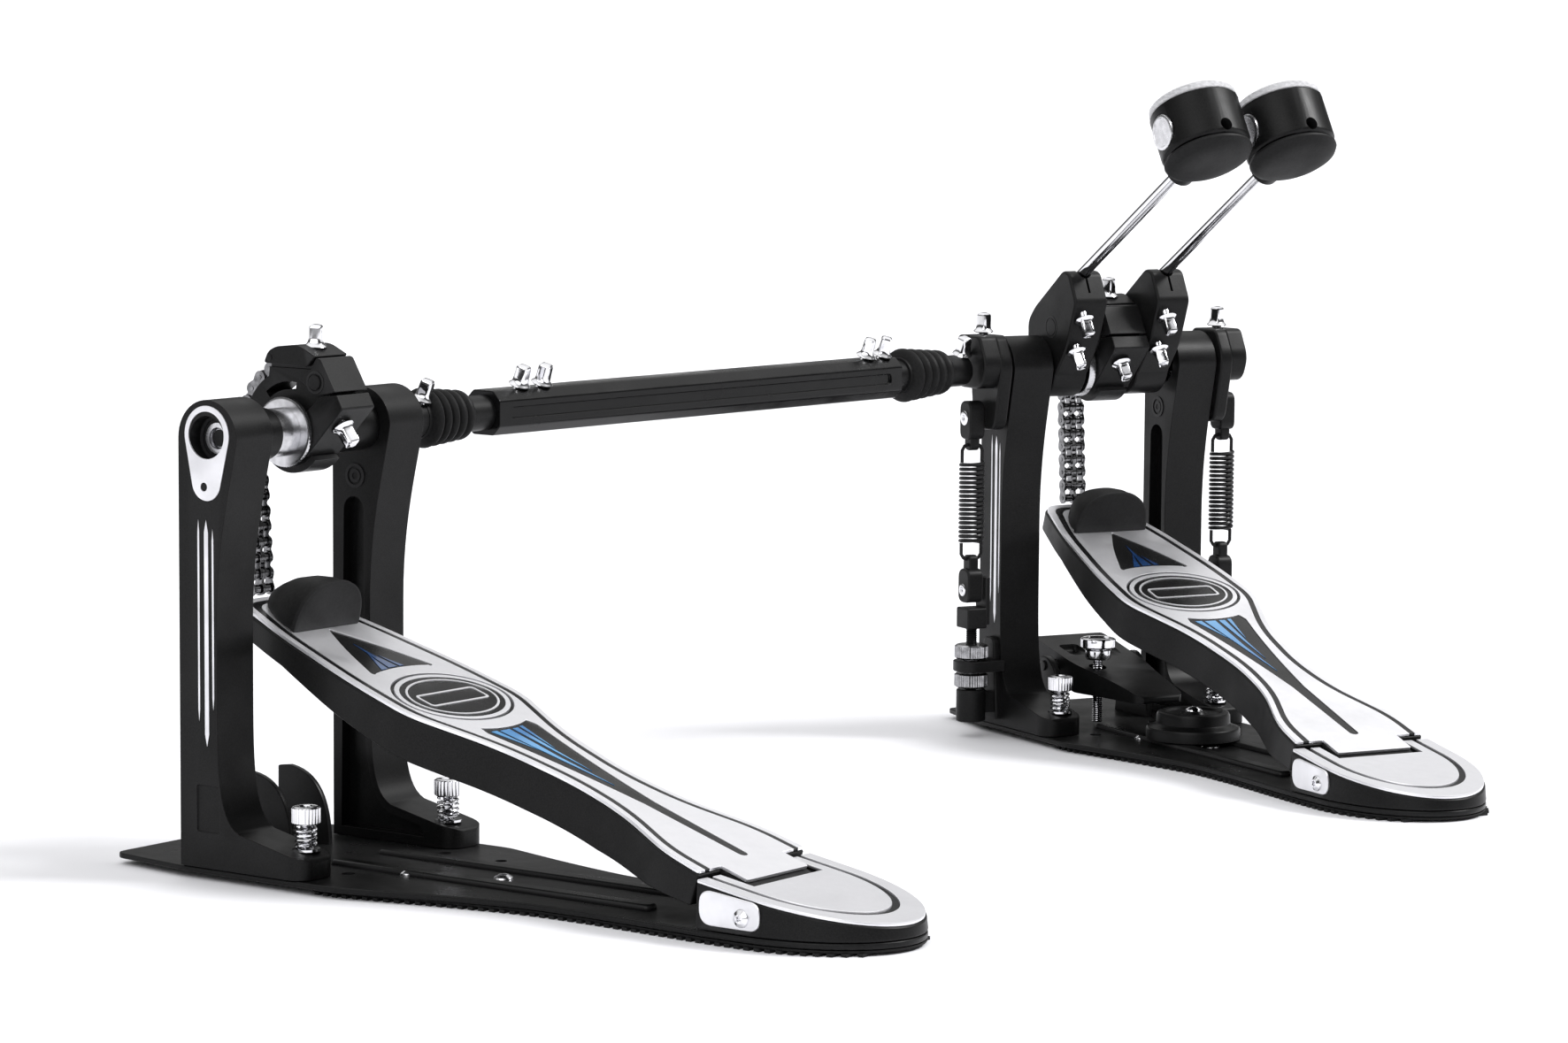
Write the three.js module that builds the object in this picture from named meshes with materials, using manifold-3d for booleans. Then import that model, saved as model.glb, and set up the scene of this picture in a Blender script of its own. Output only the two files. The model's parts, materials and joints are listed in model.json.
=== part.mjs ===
// Twin bass drum pedal: a main pedal with two beaters, a slave pedal, and the
// telescoping drive shaft that lets the slave pedal swing the left beater.
// Millimetres. +X runs along the main axle away from the slave pedal, +Y points
// at the drum, +Z is up, and the origin is on the floor under the main axle.
import * as THREE from "three";
import Module from "manifold-3d";
import { mergeVertices } from "three/addons/utils/BufferGeometryUtils.js";

const wasm = await Module();
wasm.setup();

// ---- Driving dimensions ----
const GAP = 0.3;
const AXLE_Z = 215;
const AXLE_R = 5;
const SLEEVE_R = 8;

const MAT_TOP = 2.7;
const PLATE_BOTTOM = 3;
const PLATE_TOP = 6;
const PLATE_REAR_Y = 70;
const MAT_FRONT_Y = -59;

const POST_INNER_X = 43;
const POST_OUTER_X = 69;
const POST_R = 19;
const FOOT_FRONT_Y = -60;
const BEARING_R = 11;
const BEARING_X = [50, 62];

const HEEL_HALF_WIDTH = 44.5;
const HEEL_FRONT_Y = -276.3;
const HEEL_ROUND_Y = -302;
const HEEL_TIP_Y = -366;
const HEEL_TOP_Z = 29;
const HEEL_SLOPE = 0.17;
const HINGE_Y = -302.6;
const HINGE_Z = 14.2;
const HINGE_PIN_R = 3;

const BOARD_ANGLE = THREE.MathUtils.degToRad(18.25);
const TREAD_TOP = 8.6;
const TREAD_THICKNESS = 1.6;
const BOARD_TOP = TREAD_TOP - TREAD_THICKNESS - GAP;
const BOARD_SKIN = 4;
const BOARD_WALL = 4;
const TONGUE_HALF_WIDTH = 24;

const CAM_HALF_WIDTH = 12;
const CAM_RIM_R = 29;
const CHAIN_Y = 33;
const CHAIN_HALF_WIDTH = 7.5;
const CHAIN_THICKNESS = 7;
const CHAIN_BOTTOM_Z = 124;

const ROD_R = 3.3;
const ROD_OFFSET = 33.4;
const ROD_ANGLE = THREE.MathUtils.degToRad(59);
const HEAD_R = 24;
const HEAD_HALF_LENGTH = 20;
const HEAD_ALONG_ROD = 203.6;
const HEAD_OFFSET = 42.2;
const LEFT_BEATER_X = -30;
const RIGHT_BEATER_X = 26;
const HUB_HALF_WIDTH = 11;

const SPRING_X = 85;
const SPRING_R = 7.4;
const SPRING_BOTTOM_Z = 107.3;
const SPRING_TOP_Z = 167.7;

const SLAVE_ORIGIN = [-589.3, -218.1, 0];
const SLAVE_YAW = THREE.MathUtils.degToRad(26.54);
const JOINT_X = 92;

// ---- Finishes ----
const finish = (color, roughness, metalness) =>
  new THREE.MeshStandardMaterial({ color, roughness, metalness });
const CAST_BLACK = finish(0x1c1c1e, 0.5, 0.4);
const PLATE_BLACK = finish(0x202023, 0.45, 0.5);
const SILVER = finish(0xd4d4d4, 0.4, 0.9);
const CHROME = finish(0xe6e6e8, 0.15, 1);
const STEEL = finish(0xb8b8ba, 0.3, 1);
const RUBBER = finish(0x141414, 0.85, 0);
const PLASTIC = finish(0x19191a, 0.4, 0);

// ---- Outlines and solids ----

// A closed outline through corners [x, y, radius], each radius rounded off and
// kept under half of the shorter edge beside it.
function outline(corners) {
  const shape = new THREE.Shape();
  const count = corners.length;
  corners.forEach(([x, y, radius = 0], i) => {
    const corner = new THREE.Vector2(x, y);
    const before = new THREE.Vector2(...corners[(i + count - 1) % count]);
    const after = new THREE.Vector2(...corners[(i + 1) % count]);
    const room = 0.45 * Math.min(corner.distanceTo(before), corner.distanceTo(after));
    const trim = Math.min(radius, room);
    const start = before.sub(corner).setLength(trim).add(corner);
    const end = after.sub(corner).setLength(trim).add(corner);
    if (i === 0) shape.moveTo(start.x, start.y);
    else shape.lineTo(start.x, start.y);
    if (trim) shape.quadraticCurveTo(corner.x, corner.y, end.x, end.y);
  });
  return shape;
}

// The right-hand corners of a symmetric outline, completed by their mirror image.
function mirrored(corners) {
  const left = corners.map(([x, y, radius = 0]) => [-x, y, radius]).reverse();
  return outline([...corners, ...left]);
}

// A plan outline raised from z0 to z1.
function slab(shape, z0, z1, curveSegments = 3) {
  const options = { depth: z1 - z0, bevelEnabled: false, curveSegments };
  return new THREE.ExtrudeGeometry(shape, options).translate(0, 0, z0);
}

// A side outline in (y, z) carried across from x0 to x1.
function across(shape, x0, x1, curveSegments = 3) {
  const turn = new THREE.Matrix4().makeBasis(
    new THREE.Vector3(0, 1, 0),
    new THREE.Vector3(0, 0, 1),
    new THREE.Vector3(1, 0, 0),
  );
  return slab(shape, x0, x1, curveSegments).applyMatrix4(turn);
}

function box(x0, x1, y0, y1, z0, z1) {
  const geometry = new THREE.BoxGeometry(x1 - x0, y1 - y0, z1 - z0);
  return geometry.translate((x0 + x1) / 2, (y0 + y1) / 2, (z0 + z1) / 2);
}

// Turned pieces: profile points are [distance along the axis, radius].
function turnedZ(profile, sides = 16) {
  const points = profile.map(([along, radius]) => new THREE.Vector2(radius, along));
  return new THREE.LatheGeometry(points, sides).rotateX(Math.PI / 2);
}

function turnedX(profile, sides = 16) {
  const points = profile.map(([along, radius]) => new THREE.Vector2(radius, along));
  return new THREE.LatheGeometry(points, sides).rotateZ(-Math.PI / 2);
}

function pinX(radius, x0, x1, sides = 16) {
  return turnedX([[x0, 0], [x0, radius], [x1, radius], [x1, 0]], sides);
}

function pinZ(radius, z0, z1, sides = 12) {
  return turnedZ([[z0, 0], [z0, radius], [z1, radius], [z1, 0]], sides);
}

function ringX(inner, outer, x0, x1, sides = 20) {
  const profile = [[x0, inner], [x0, outer], [x1, outer], [x1, inner], [x0, inner]];
  return turnedX(profile, sides);
}

function toManifold(geometry) {
  const bare = geometry.clone();
  bare.deleteAttribute("normal");
  bare.deleteAttribute("uv");
  const merged = mergeVertices(bare, 1e-4);
  const vertProperties = new Float32Array(merged.attributes.position.array);
  const triVerts = new Uint32Array(merged.index.array);
  return new wasm.Manifold(new wasm.Mesh({ numProp: 3, vertProperties, triVerts }));
}

function toGeometry(manifold) {
  const mesh = manifold.getMesh();
  const geometry = new THREE.BufferGeometry();
  geometry.setAttribute("position", new THREE.BufferAttribute(mesh.vertProperties, 3));
  geometry.setIndex(new THREE.BufferAttribute(mesh.triVerts, 1));
  geometry.computeVertexNormals();
  return geometry;
}

function join(...geometries) {
  return toGeometry(geometries.map(toManifold).reduce((sum, piece) => sum.add(piece)));
}

function cut(geometry, ...tools) {
  const start = toManifold(geometry);
  return toGeometry(tools.map(toManifold).reduce((rest, tool) => rest.subtract(tool), start));
}

function common(geometry, other) {
  return toGeometry(toManifold(geometry).intersect(toManifold(other)));
}

function add(group, name, geometry, material) {
  const mesh = new THREE.Mesh(geometry, material);
  mesh.name = name;
  group.add(mesh);
  return mesh;
}

// ---- Base ----

// The right half of the rounded heel end in plan, from near its tip to its side.
function heelCurve(grow) {
  return [4, 14, 26, 38, 50, 63, 76, 90].map((degrees) => {
    const angle = THREE.MathUtils.degToRad(degrees);
    return [
      (HEEL_HALF_WIDTH + grow) * Math.sin(angle),
      HEEL_ROUND_Y - (HEEL_ROUND_Y - HEEL_TIP_Y + grow) * Math.cos(angle),
      1,
    ];
  });
}

function plateOutline() {
  return mirrored([
    ...heelCurve(1),
    [HEEL_HALF_WIDTH + 1, HEEL_FRONT_Y, 6],
    [42, -215, 10],
    [42, -175, 20],
    [52, -130, 20],
    [68, -76, 6],
    [68, 20, 4],
    [61, PLATE_REAR_Y, 5],
  ]);
}

function baseplate(extras) {
  const plate = slab(plateOutline(), PLATE_BOTTOM, PLATE_TOP);
  const ribs = [-18, 18].map((x) => slab(
    outline([[x - 4.5, -232, 4], [x + 4.5, -232, 4], [x + 4.5, -35, 4], [x - 4.5, -35, 4]]),
    PLATE_TOP - 1, PLATE_TOP + 2.5,
  ));
  const holes = [[-36, -60], [36, -60], [36, -96], [0, -80]].map(([x, y]) =>
    pinZ(3, 0, PLATE_TOP + 5).translate(x, y, 0));
  const spurHoles = [-53, 53].map((x) => pinZ(3.2, 0, PLATE_TOP + 5).translate(x, -48, 0));
  return cut(join(plate, ...ribs, ...extras), ...holes, ...spurHoles);
}

function floorMat() {
  const shape = mirrored([
    ...heelCurve(0.5),
    [HEEL_HALF_WIDTH, HEEL_FRONT_Y, 6],
    [41, -215, 10],
    [41, -175, 20],
    [50, -130, 20],
    [62, MAT_FRONT_Y - 18, 6],
    [62, MAT_FRONT_Y, 2],
  ]);
  return slab(shape, 0, MAT_TOP);
}

// Two cross bars under the rear of the plate, linked along the middle.
function rearPad() {
  const shape = mirrored([
    [56, -24, 2], [56, 4, 2], [12, 4, 2], [12, 21, 2], [50, 21, 2], [50, 66, 2],
  ]);
  return slab(shape, 0, MAT_TOP);
}

// ---- Posts and bearings ----

function postProfile() {
  const shape = new THREE.Shape();
  shape.moveTo(POST_R, PLATE_TOP + GAP);
  shape.lineTo(POST_R, AXLE_Z);
  shape.absarc(0, AXLE_Z, POST_R, 0, Math.PI, false);
  shape.bezierCurveTo(-14, 190, -5.5, 165, -5.5, 125);
  shape.lineTo(-5.5, 82);
  shape.bezierCurveTo(-5.5, 45, -8, 30, -19, 25);
  shape.lineTo(FOOT_FRONT_Y + 3, 16.5);
  shape.quadraticCurveTo(FOOT_FRONT_Y, 16, FOOT_FRONT_Y, 13);
  shape.lineTo(FOOT_FRONT_Y, PLATE_TOP + GAP);
  return shape;
}

// side is -1 for the left post and +1 for the right one.
function post(side, springBracket) {
  const [x0, x1] = side < 0 ? [-POST_OUTER_X, -POST_INNER_X] : [POST_INNER_X, POST_OUTER_X];
  const plan = outline([
    [x0, FOOT_FRONT_Y, 11], [x1, FOOT_FRONT_Y, 11], [x1, POST_R], [x0, POST_R],
  ]);
  const casting = common(across(postProfile(), x0, x1, 6), slab(plan, 0, AXLE_Z + POST_R));
  const bore = pinX(BEARING_R + GAP, x0 - 1, x1 + 1, 24).translate(0, 0, AXLE_Z);
  const spurBore = pinZ(3.2, 0, 40, 16).translate(side * 53, -48, 0);
  const slot = across(
    outline([[-2, 60, 5], [11, 60, 5], [13, 182, 5], [-1, 182, 5]]),
    side * POST_INNER_X - 7, side * POST_INNER_X + 7,
  );
  if (!springBracket) return cut(casting, bore, spurBore, slot);
  const [arm0, arm1] = side < 0 ? [-94, -68] : [68, 94];
  const arm = box(arm0, arm1, -9, 9, 38.5, 45);
  const [web0, web1] = side < 0 ? [-73, -68] : [68, 73];
  const web = box(web0, web1, -7, 7, 12, 48);
  const [low0, low1] = side < 0 ? [-85, -70] : [70, 85];
  const low = box(low0, low1, -5, 5, 14, 26);
  const sleeve = pinZ(6, 12, 27, 18).translate(side * SPRING_X, 0, 0);
  const nutBore = pinZ(5, 36, 50, 18).translate(side * SPRING_X, 0, 0);
  const rodBore = pinZ(3.6, 9, 30, 18).translate(side * SPRING_X, 0, 0);
  return cut(join(casting, arm, web, low, sleeve), bore, spurBore, slot, nutBore, rodBore);
}

function bearing(side, innerRadius) {
  const [x0, x1] = side < 0 ? [-BEARING_X[1], -BEARING_X[0]] : BEARING_X;
  return ringX(innerRadius, BEARING_R, x0, x1).translate(0, 0, AXLE_Z);
}

function spur() {
  const profile = [
    [4, 0], [6, 2], [9, 2.8], [31, 2.8], [31, 7], [39.5, 7], [40, 6.5], [40, 0],
  ];
  return turnedZ(profile, 16);
}

// ---- Heel ----

function heelOutline(grow = 0) {
  const shape = new THREE.Shape();
  const half = HEEL_HALF_WIDTH + grow;
  shape.moveTo(half, HEEL_FRONT_Y);
  shape.lineTo(-half, HEEL_FRONT_Y);
  shape.lineTo(-half, HEEL_ROUND_Y);
  shape.absellipse(0, HEEL_ROUND_Y, half, HEEL_ROUND_Y - HEEL_TIP_Y, Math.PI, 2 * Math.PI, false);
  return shape;
}

function heelTop(y) {
  return HEEL_TOP_Z + HEEL_SLOPE * (y - HEEL_FRONT_Y);
}

function heelBlock() {
  const shell = slab(heelOutline(), PLATE_TOP + GAP, 40, 12);
  const above = across(outline([
    [HEEL_FRONT_Y + 5, heelTop(HEEL_FRONT_Y + 5)],
    [HEEL_FRONT_Y + 5, 50],
    [HEEL_TIP_Y - 5, 50],
    [HEEL_TIP_Y - 5, heelTop(HEEL_TIP_Y - 5)],
  ]), -60, 60);
  const pocket = box(-26, 26, -313, HEEL_FRONT_Y + 5, 7.3, 40);
  const bore = pinX(HINGE_PIN_R + GAP, -60, 60, 18).translate(0, HINGE_Y, HINGE_Z);
  return cut(shell, above, pocket, bore);
}

// The hinge pin carries the two tapered side plates that close its ends.
function hingePin() {
  const x1 = HEEL_HALF_WIDTH + GAP;
  const pin = pinX(HINGE_PIN_R, -x1 - 0.5, x1 + 0.5).translate(0, HINGE_Y, HINGE_Z);
  const cover = (x) => across(outline([
    [-279, 8.6, 7], [-279, 25, 7], [-312, 21.5, 6], [-312, 8.6, 6],
  ]), x, x + 1.4);
  return join(pin, cover(x1), cover(-x1 - 1.4));
}

// ---- Footboard, in its own frame: y along the board from the hinge, z square to it ----

function boardCorners(inset, end) {
  return [
    [41.5 - inset, 31 + inset, 2],
    [39.5 - inset, 54, 12],
    [25 - inset, 92, 18],
    [21.5 - inset, 125, 18],
    [27 - inset, 168, 18],
    [44.5 - inset, 212, 10],
    [42.5 - inset, 250, 20],
    [34 - inset, 305, 15],
    [23 - inset, end - inset, 8],
  ];
}

function boardOutline(inset = 0, end = 347) {
  return mirrored(boardCorners(inset, end));
}

function footboard() {
  const sides = common(
    slab(boardOutline(), -20, BOARD_TOP),
    across(outline([
      [30, BOARD_TOP], [30, -7.5], [60, -12], [100, -14.5], [200, -14.5, 20],
      [262, -10, 20], [300, -5], [352, -4], [352, BOARD_TOP],
    ].reverse()), -60, 60),
  );
  const hollow = slab(boardOutline(BOARD_WALL), -30, BOARD_TOP - BOARD_SKIN);
  const shell = cut(sides, hollow);
  const tongue = across(outline([
    [0, -5.5], [0, 5.5], [14, BOARD_TOP], [40, BOARD_TOP], [40, 2.6], [15, 2.6],
  ].reverse()), -TONGUE_HALF_WIDTH, TONGUE_HALF_WIDTH);
  const barrel = pinX(6, -TONGUE_HALF_WIDTH, TONGUE_HALF_WIDTH);
  const bore = pinX(HINGE_PIN_R + GAP, -60, 60, 18);
  return cut(join(shell, tongue, barrel), bore);
}

function tread() {
  const plate = slab(boardOutline(1), TREAD_TOP - TREAD_THICKNESS, TREAD_TOP);
  const step = slab(
    mirrored([[24, 17, 1], [24, 33, 0]]), TREAD_TOP - TREAD_THICKNESS, TREAD_TOP,
  );
  return join(plate, step);
}

// A domed wedge with its face towards the heel.
function toeStop() {
  const face = 306;
  const back = 342;
  const dome = new THREE.Shape();
  dome.moveTo(-24, TREAD_TOP + GAP);
  dome.lineTo(24, TREAD_TOP + GAP);
  dome.absellipse(0, TREAD_TOP + 4, 24, 21, 0, Math.PI, false);
  const arch = slab(dome, -back, -face, 8).rotateX(Math.PI / 2);
  const wedge = across(outline([
    [face, TREAD_TOP], [back, TREAD_TOP], [back, TREAD_TOP + 3],
    [face + 12, 33, 6], [face, 33],
  ]), -30, 30);
  return common(arch, wedge);
}

// ---- Axle, cam and chain ----

function camProfile() {
  const shape = new THREE.Shape();
  shape.moveTo(-12, -13);
  shape.absarc(0, 0, 17.7, Math.PI * 1.26, Math.PI * 1.85, false);
  shape.lineTo(CAM_RIM_R, -4);
  shape.absarc(0, 0, CAM_RIM_R, 0, Math.PI * 0.34, false);
  shape.lineTo(14.5, 35);
  shape.lineTo(9, 41);
  shape.lineTo(-12, 42);
  shape.lineTo(-22, 36.5);
  shape.lineTo(-31, 20);
  shape.lineTo(-36, 13);
  return shape;
}

function cam() {
  const body = across(camProfile(), -CAM_HALF_WIDTH, CAM_HALF_WIDTH);
  const bolt = pinZ(3, 40, 52, 12).translate(0, -6, 0);
  const bore = pinX(AXLE_R + GAP, -20, 20);
  return cut(join(body, bolt), bore).translate(0, 0, AXLE_Z);
}

function slaveShaft() {
  const profile = [
    [-60, 0], [-60, AXLE_R], [-28, AXLE_R], [-28, 12], [-15.5, 12], [-15.5, 17.5],
    [-12.3, 17.5], [-12.3, AXLE_R], [12.3, AXLE_R], [12.3, 9.5], [42, 9.5], [42, AXLE_R],
    [70, AXLE_R], [70, 9], [78, 9], [78, AXLE_R], [84, AXLE_R], [84, 0],
  ];
  return turnedX(profile).translate(0, 0, AXLE_Z);
}

function mainShaft() {
  const profile = [
    [-80, 0], [-80, AXLE_R], [-17.5, AXLE_R], [-17.5, 17.5], [-12.3, 17.5],
    [-12.3, AXLE_R], [84, AXLE_R], [84, 0],
  ];
  return turnedX(profile).translate(0, 0, AXLE_Z);
}

function chain() {
  const half = CHAIN_THICKNESS / 2;
  return box(
    -CHAIN_HALF_WIDTH, CHAIN_HALF_WIDTH, CHAIN_Y - half, CHAIN_Y + half,
    CHAIN_BOTTOM_Z, AXLE_Z - 3,
  );
}

// ---- Beaters ----

// The frame whose z runs up the beater rod, with y from the axle to the rod.
function rodFrame(x) {
  const frame = new THREE.Group();
  frame.position.set(x, 0, AXLE_Z);
  frame.rotation.x = ROD_ANGLE;
  return frame;
}

function beaterHub(x, boreRadius) {
  const block = across(outline([
    [15, -8, 6], [15, 27, 4], [8, 35, 4], [-24, 58, 3], [-30, 57, 3], [-39, 40, 4],
    [-30, 14, 6], [-15, -6, 4],
  ]), -HUB_HALF_WIDTH, HUB_HALF_WIDTH);
  const ring = pinX(17, -HUB_HALF_WIDTH, HUB_HALF_WIDTH, 20);
  const axleBore = pinX(boreRadius + GAP, -20, 20);
  const rodBore = pinZ(ROD_R + GAP, -30, 90, 16)
    .translate(0, ROD_OFFSET, 0)
    .rotateX(ROD_ANGLE);
  return cut(join(block, ring), axleBore, rodBore).translate(x, 0, AXLE_Z);
}

function beaterRod() {
  return pinZ(ROD_R, 16, HEAD_ALONG_ROD - 4, 16).translate(0, ROD_OFFSET, 0);
}

function beaterHead() {
  const barrel = turnedZ([
    [-HEAD_HALF_LENGTH, 0], [-HEAD_HALF_LENGTH, 12], [-HEAD_HALF_LENGTH + 4, 20],
    [-HEAD_HALF_LENGTH + 11, HEAD_R], [HEAD_HALF_LENGTH - 1, HEAD_R],
    [HEAD_HALF_LENGTH, HEAD_R - 1], [HEAD_HALF_LENGTH, 0],
  ], 24).rotateX(-Math.PI / 2).translate(0, HEAD_OFFSET, HEAD_ALONG_ROD);
  const collar = pinZ(7, HEAD_ALONG_ROD - HEAD_R - 7, HEAD_ALONG_ROD - 10, 16)
    .translate(0, ROD_OFFSET, 0);
  const bore = pinZ(ROD_R + GAP, HEAD_ALONG_ROD - 60, HEAD_ALONG_ROD - 3, 16)
    .translate(0, ROD_OFFSET, 0);
  return cut(join(barrel, collar), bore);
}

// ---- Spring side: crank, clevises, spring, tension rod and nut ----

function crankBody(x0, x1) {
  const shape = outline([
    [16, 8, 5], [12, 20, 5], [-14, 20, 6], [-22, 4, 6], [-13, -33, 6], [10, -33, 6],
  ].reverse());
  return across(shape, x0, x1);
}

function rightCrank() {
  const upper = common(crankBody(71, 90), box(60, 100, -40, 40, -10.5, 40));
  const arm = crankBody(71, 79.5);
  const bolt = pinZ(3, 19, 32, 12).translate(80, 0, 0);
  const bore = pinX(AXLE_R + GAP, 60, 85);
  return cut(join(upper, arm, bolt), bore).translate(0, 0, AXLE_Z);
}

// The left crank turns the sleeve that carries the left beater, and its outer
// end is the knuckle where the drive shaft's universal joint is clamped.
function leftCrank() {
  const upper = common(crankBody(-90, -71), box(-100, -60, -40, 40, -10.5, 40));
  const arm = crankBody(-79.5, -71);
  const bolt = pinZ(3, 19, 32, 12).translate(-80, 0, 0);
  const sleeve = pinX(SLEEVE_R, -72, -18.5);
  const bore = pinX(AXLE_R + GAP, -81, 0);
  return cut(join(upper, arm, bolt, sleeve), bore).translate(0, 0, AXLE_Z);
}

function springClevis() {
  const body = box(-5, 5, -6, 6, 172, 197);
  const eye = box(-3, 3, -4, 4, 168, 173);
  return join(body, eye);
}

function lowerClevis() {
  const body = box(-5, 5, -6, 6, 79, 101);
  const eye = box(-3, 3, -4, 4, 100, 107);
  return join(body, eye);
}

// side is the sign of x. The ear stands between the clevis and the post.
function tensionRod(side) {
  const rod = pinZ(3.2, 14, 66, 16);
  const block = box(-6.5, 6.5, -7, 7, 64, 76);
  const ear = box(-1.6, 1.6, -5, 5, 70, 92).translate(-side * 7.4, 0, 0);
  return join(rod, block, ear);
}

// Two knurled wheels, one each side of the bracket, on one threaded sleeve.
function tensionNut() {
  const profile = [
    [29, 3.5], [29, 10], [37.8, 10], [37.8, 4.7], [45.5, 4.7], [45.5, 10], [54.5, 10],
    [54.5, 3.5], [29, 3.5],
  ];
  return turnedZ(profile, 20);
}

// ---- Hoop clamp under the main footboard ----

function clampRocker() {
  const beam = across(outline([
    [66, 30, 2], [66, 38, 3], [36, 52, 4], [20, 49, 4], [-10, 42, 8], [-60, 32, 8],
    [-74, 28, 3], [-74, 24, 2], [-40, 24, 6], [-12, 24, 5], [6, 34, 6], [40, 40, 4],
    [60, 30, 1],
  ].reverse()), -24, 24);
  const pivotBore = pinX(3.3, -60, 60, 16).translate(0, 6, 38);
  const knobBore = pinZ(5.2, 0, 80, 16).translate(-12, -22, 0);
  return cut(beam, pivotBore, knobBore);
}

function clampPivotEars() {
  const ear = (x) => across(outline([
    [-14, 5, 0], [24, 5, 0], [20, 36, 8], [6, 46, 8], [-8, 36, 8],
  ]), x, x + 4);
  const pin = pinX(3, -32, 32, 16).translate(0, 6, 38);
  return [ear(28), ear(-32), pin];
}

function clampKnob() {
  const profile = [
    [7, 0], [7, 3], [48, 3], [48, 8], [51, 8], [51, 10.5], [57, 10.5], [57, 0],
  ];
  return turnedZ(profile, 20).translate(-12, -22, 0);
}

function clampDisc() {
  const profile = [
    [PLATE_TOP + GAP + 2.6, 0], [PLATE_TOP + GAP + 2.6, 27], [16, 27], [18, 21], [25, 21],
    [25, 0],
  ];
  return turnedZ(profile, 28).translate(0, -108, 0);
}

// Two upright rounded cheeks and a cross bar stiffen the slave pedal's plate.
function slaveCheeks() {
  const cheek = (x) => {
    const shape = new THREE.Shape();
    shape.moveTo(34, 5);
    shape.lineTo(34, 43);
    shape.lineTo(26, 44);
    shape.bezierCurveTo(8, 42, 0, 28, 0, 5);
    return across(shape, x, x + 3, 8);
  };
  return [cheek(-10), cheek(18), box(-9, 20, 12, 26, 5, 14)];
}

// ---- One pedal ----

function pedal(group, name, { bearingRadius, springBrackets, extras, shaft }) {
  add(group, `${name}_baseplate`, baseplate(extras), PLATE_BLACK);
  add(group, `${name}_floor_mat`, floorMat(), RUBBER);
  add(group, `${name}_rear_pad`, rearPad(), RUBBER);
  for (const [label, side] of [["left", -1], ["right", 1]]) {
    add(group, `${name}_${label}_post`, post(side, springBrackets), CAST_BLACK);
    const radius = side < 0 ? bearingRadius : AXLE_R;
    add(group, `${name}_${label}_bearing`, bearing(side, radius + GAP), STEEL);
    add(group, `${name}_${label}_spur`, spur(), CHROME).position.set(side * 53, -48, 0);
  }
  add(group, `${name}_heel_block`, heelBlock(), CAST_BLACK);
  add(group, `${name}_hinge_pin`, hingePin(), CHROME);
  const board = new THREE.Group();
  board.position.set(0, HINGE_Y, HINGE_Z);
  board.rotation.x = BOARD_ANGLE;
  add(board, `${name}_footboard`, footboard(), CAST_BLACK);
  add(board, `${name}_tread`, tread(), SILVER);
  add(board, `${name}_toe_stop`, toeStop(), RUBBER);
  group.add(board);
  add(group, `${name}_chain`, chain(), STEEL);
  add(group, `${name}_cam`, cam(), CAST_BLACK);
  add(group, `${name}_shaft`, shaft, STEEL);
}

function beater(group, side, x, boreRadius) {
  add(group, `${side}_beater_hub`, beaterHub(x, boreRadius), CAST_BLACK);
  const frame = rodFrame(x);
  add(frame, `${side}_beater_rod`, beaterRod(), CHROME);
  add(frame, `${side}_beater_head`, beaterHead(), PLASTIC);
  group.add(frame);
}

function springSide(group, label, side) {
  const column = new THREE.Group();
  column.position.x = side * (SPRING_X + 1);
  add(column, `${label}_spring_clevis`, springClevis(), CAST_BLACK);
  add(column, `${label}_lower_clevis`, lowerClevis(), CAST_BLACK);
  const spring = pinZ(SPRING_R, SPRING_BOTTOM_Z, SPRING_TOP_Z, 16);
  add(column, `${label}_spring`, spring, STEEL);
  group.add(column);
  const rod = add(group, `${label}_tension_rod`, tensionRod(side), CAST_BLACK);
  rod.position.x = side * SPRING_X;
  const nut = add(group, `${label}_tension_nut`, tensionNut(), STEEL);
  nut.position.x = side * SPRING_X;
}

// ---- Drive shaft, in its own frame: x from the slave joint to the main joint ----

function boot(x0, x1) {
  const ribs = 5;
  const pitch = (x1 - x0) / ribs;
  const outside = [];
  for (let i = 0; i < ribs; i += 1) {
    outside.push([x0 + pitch * i, 11], [x0 + pitch * (i + 0.5), 14.5]);
  }
  outside.push([x1, 11]);
  const profile = [[x0, 9.5], ...outside, [x1, 9.5], [x0, 9.5]];
  return turnedX(profile, 14);
}

function driveLine(group, length) {
  const tubeStart = 43;
  const tubeEnd = 378;
  add(group, "slave_boot", boot(-7, 28), RUBBER);
  add(group, "main_boot", boot(388, 430), RUBBER);
  const rod = turnedX([[14, 0], [14, 6], [185, 6], [185, 0]]);
  add(group, "drive_rod", rod, STEEL);
  const tube = pinX(12, tubeStart, tubeEnd, 6);
  const neck = pinX(6, tubeEnd - 5, length - 18);
  const bolts = [66, 83, 354, 369].map((x) => pinZ(3, 8, 24, 12).translate(x, 0, 0));
  const bore = pinX(6 + GAP, tubeStart - 1, 320);
  add(group, "drive_tube", cut(join(tube, neck, ...bolts), bore), CAST_BLACK);
}

// ---- The whole instrument ----

const pedalSet = new THREE.Group();

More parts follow.
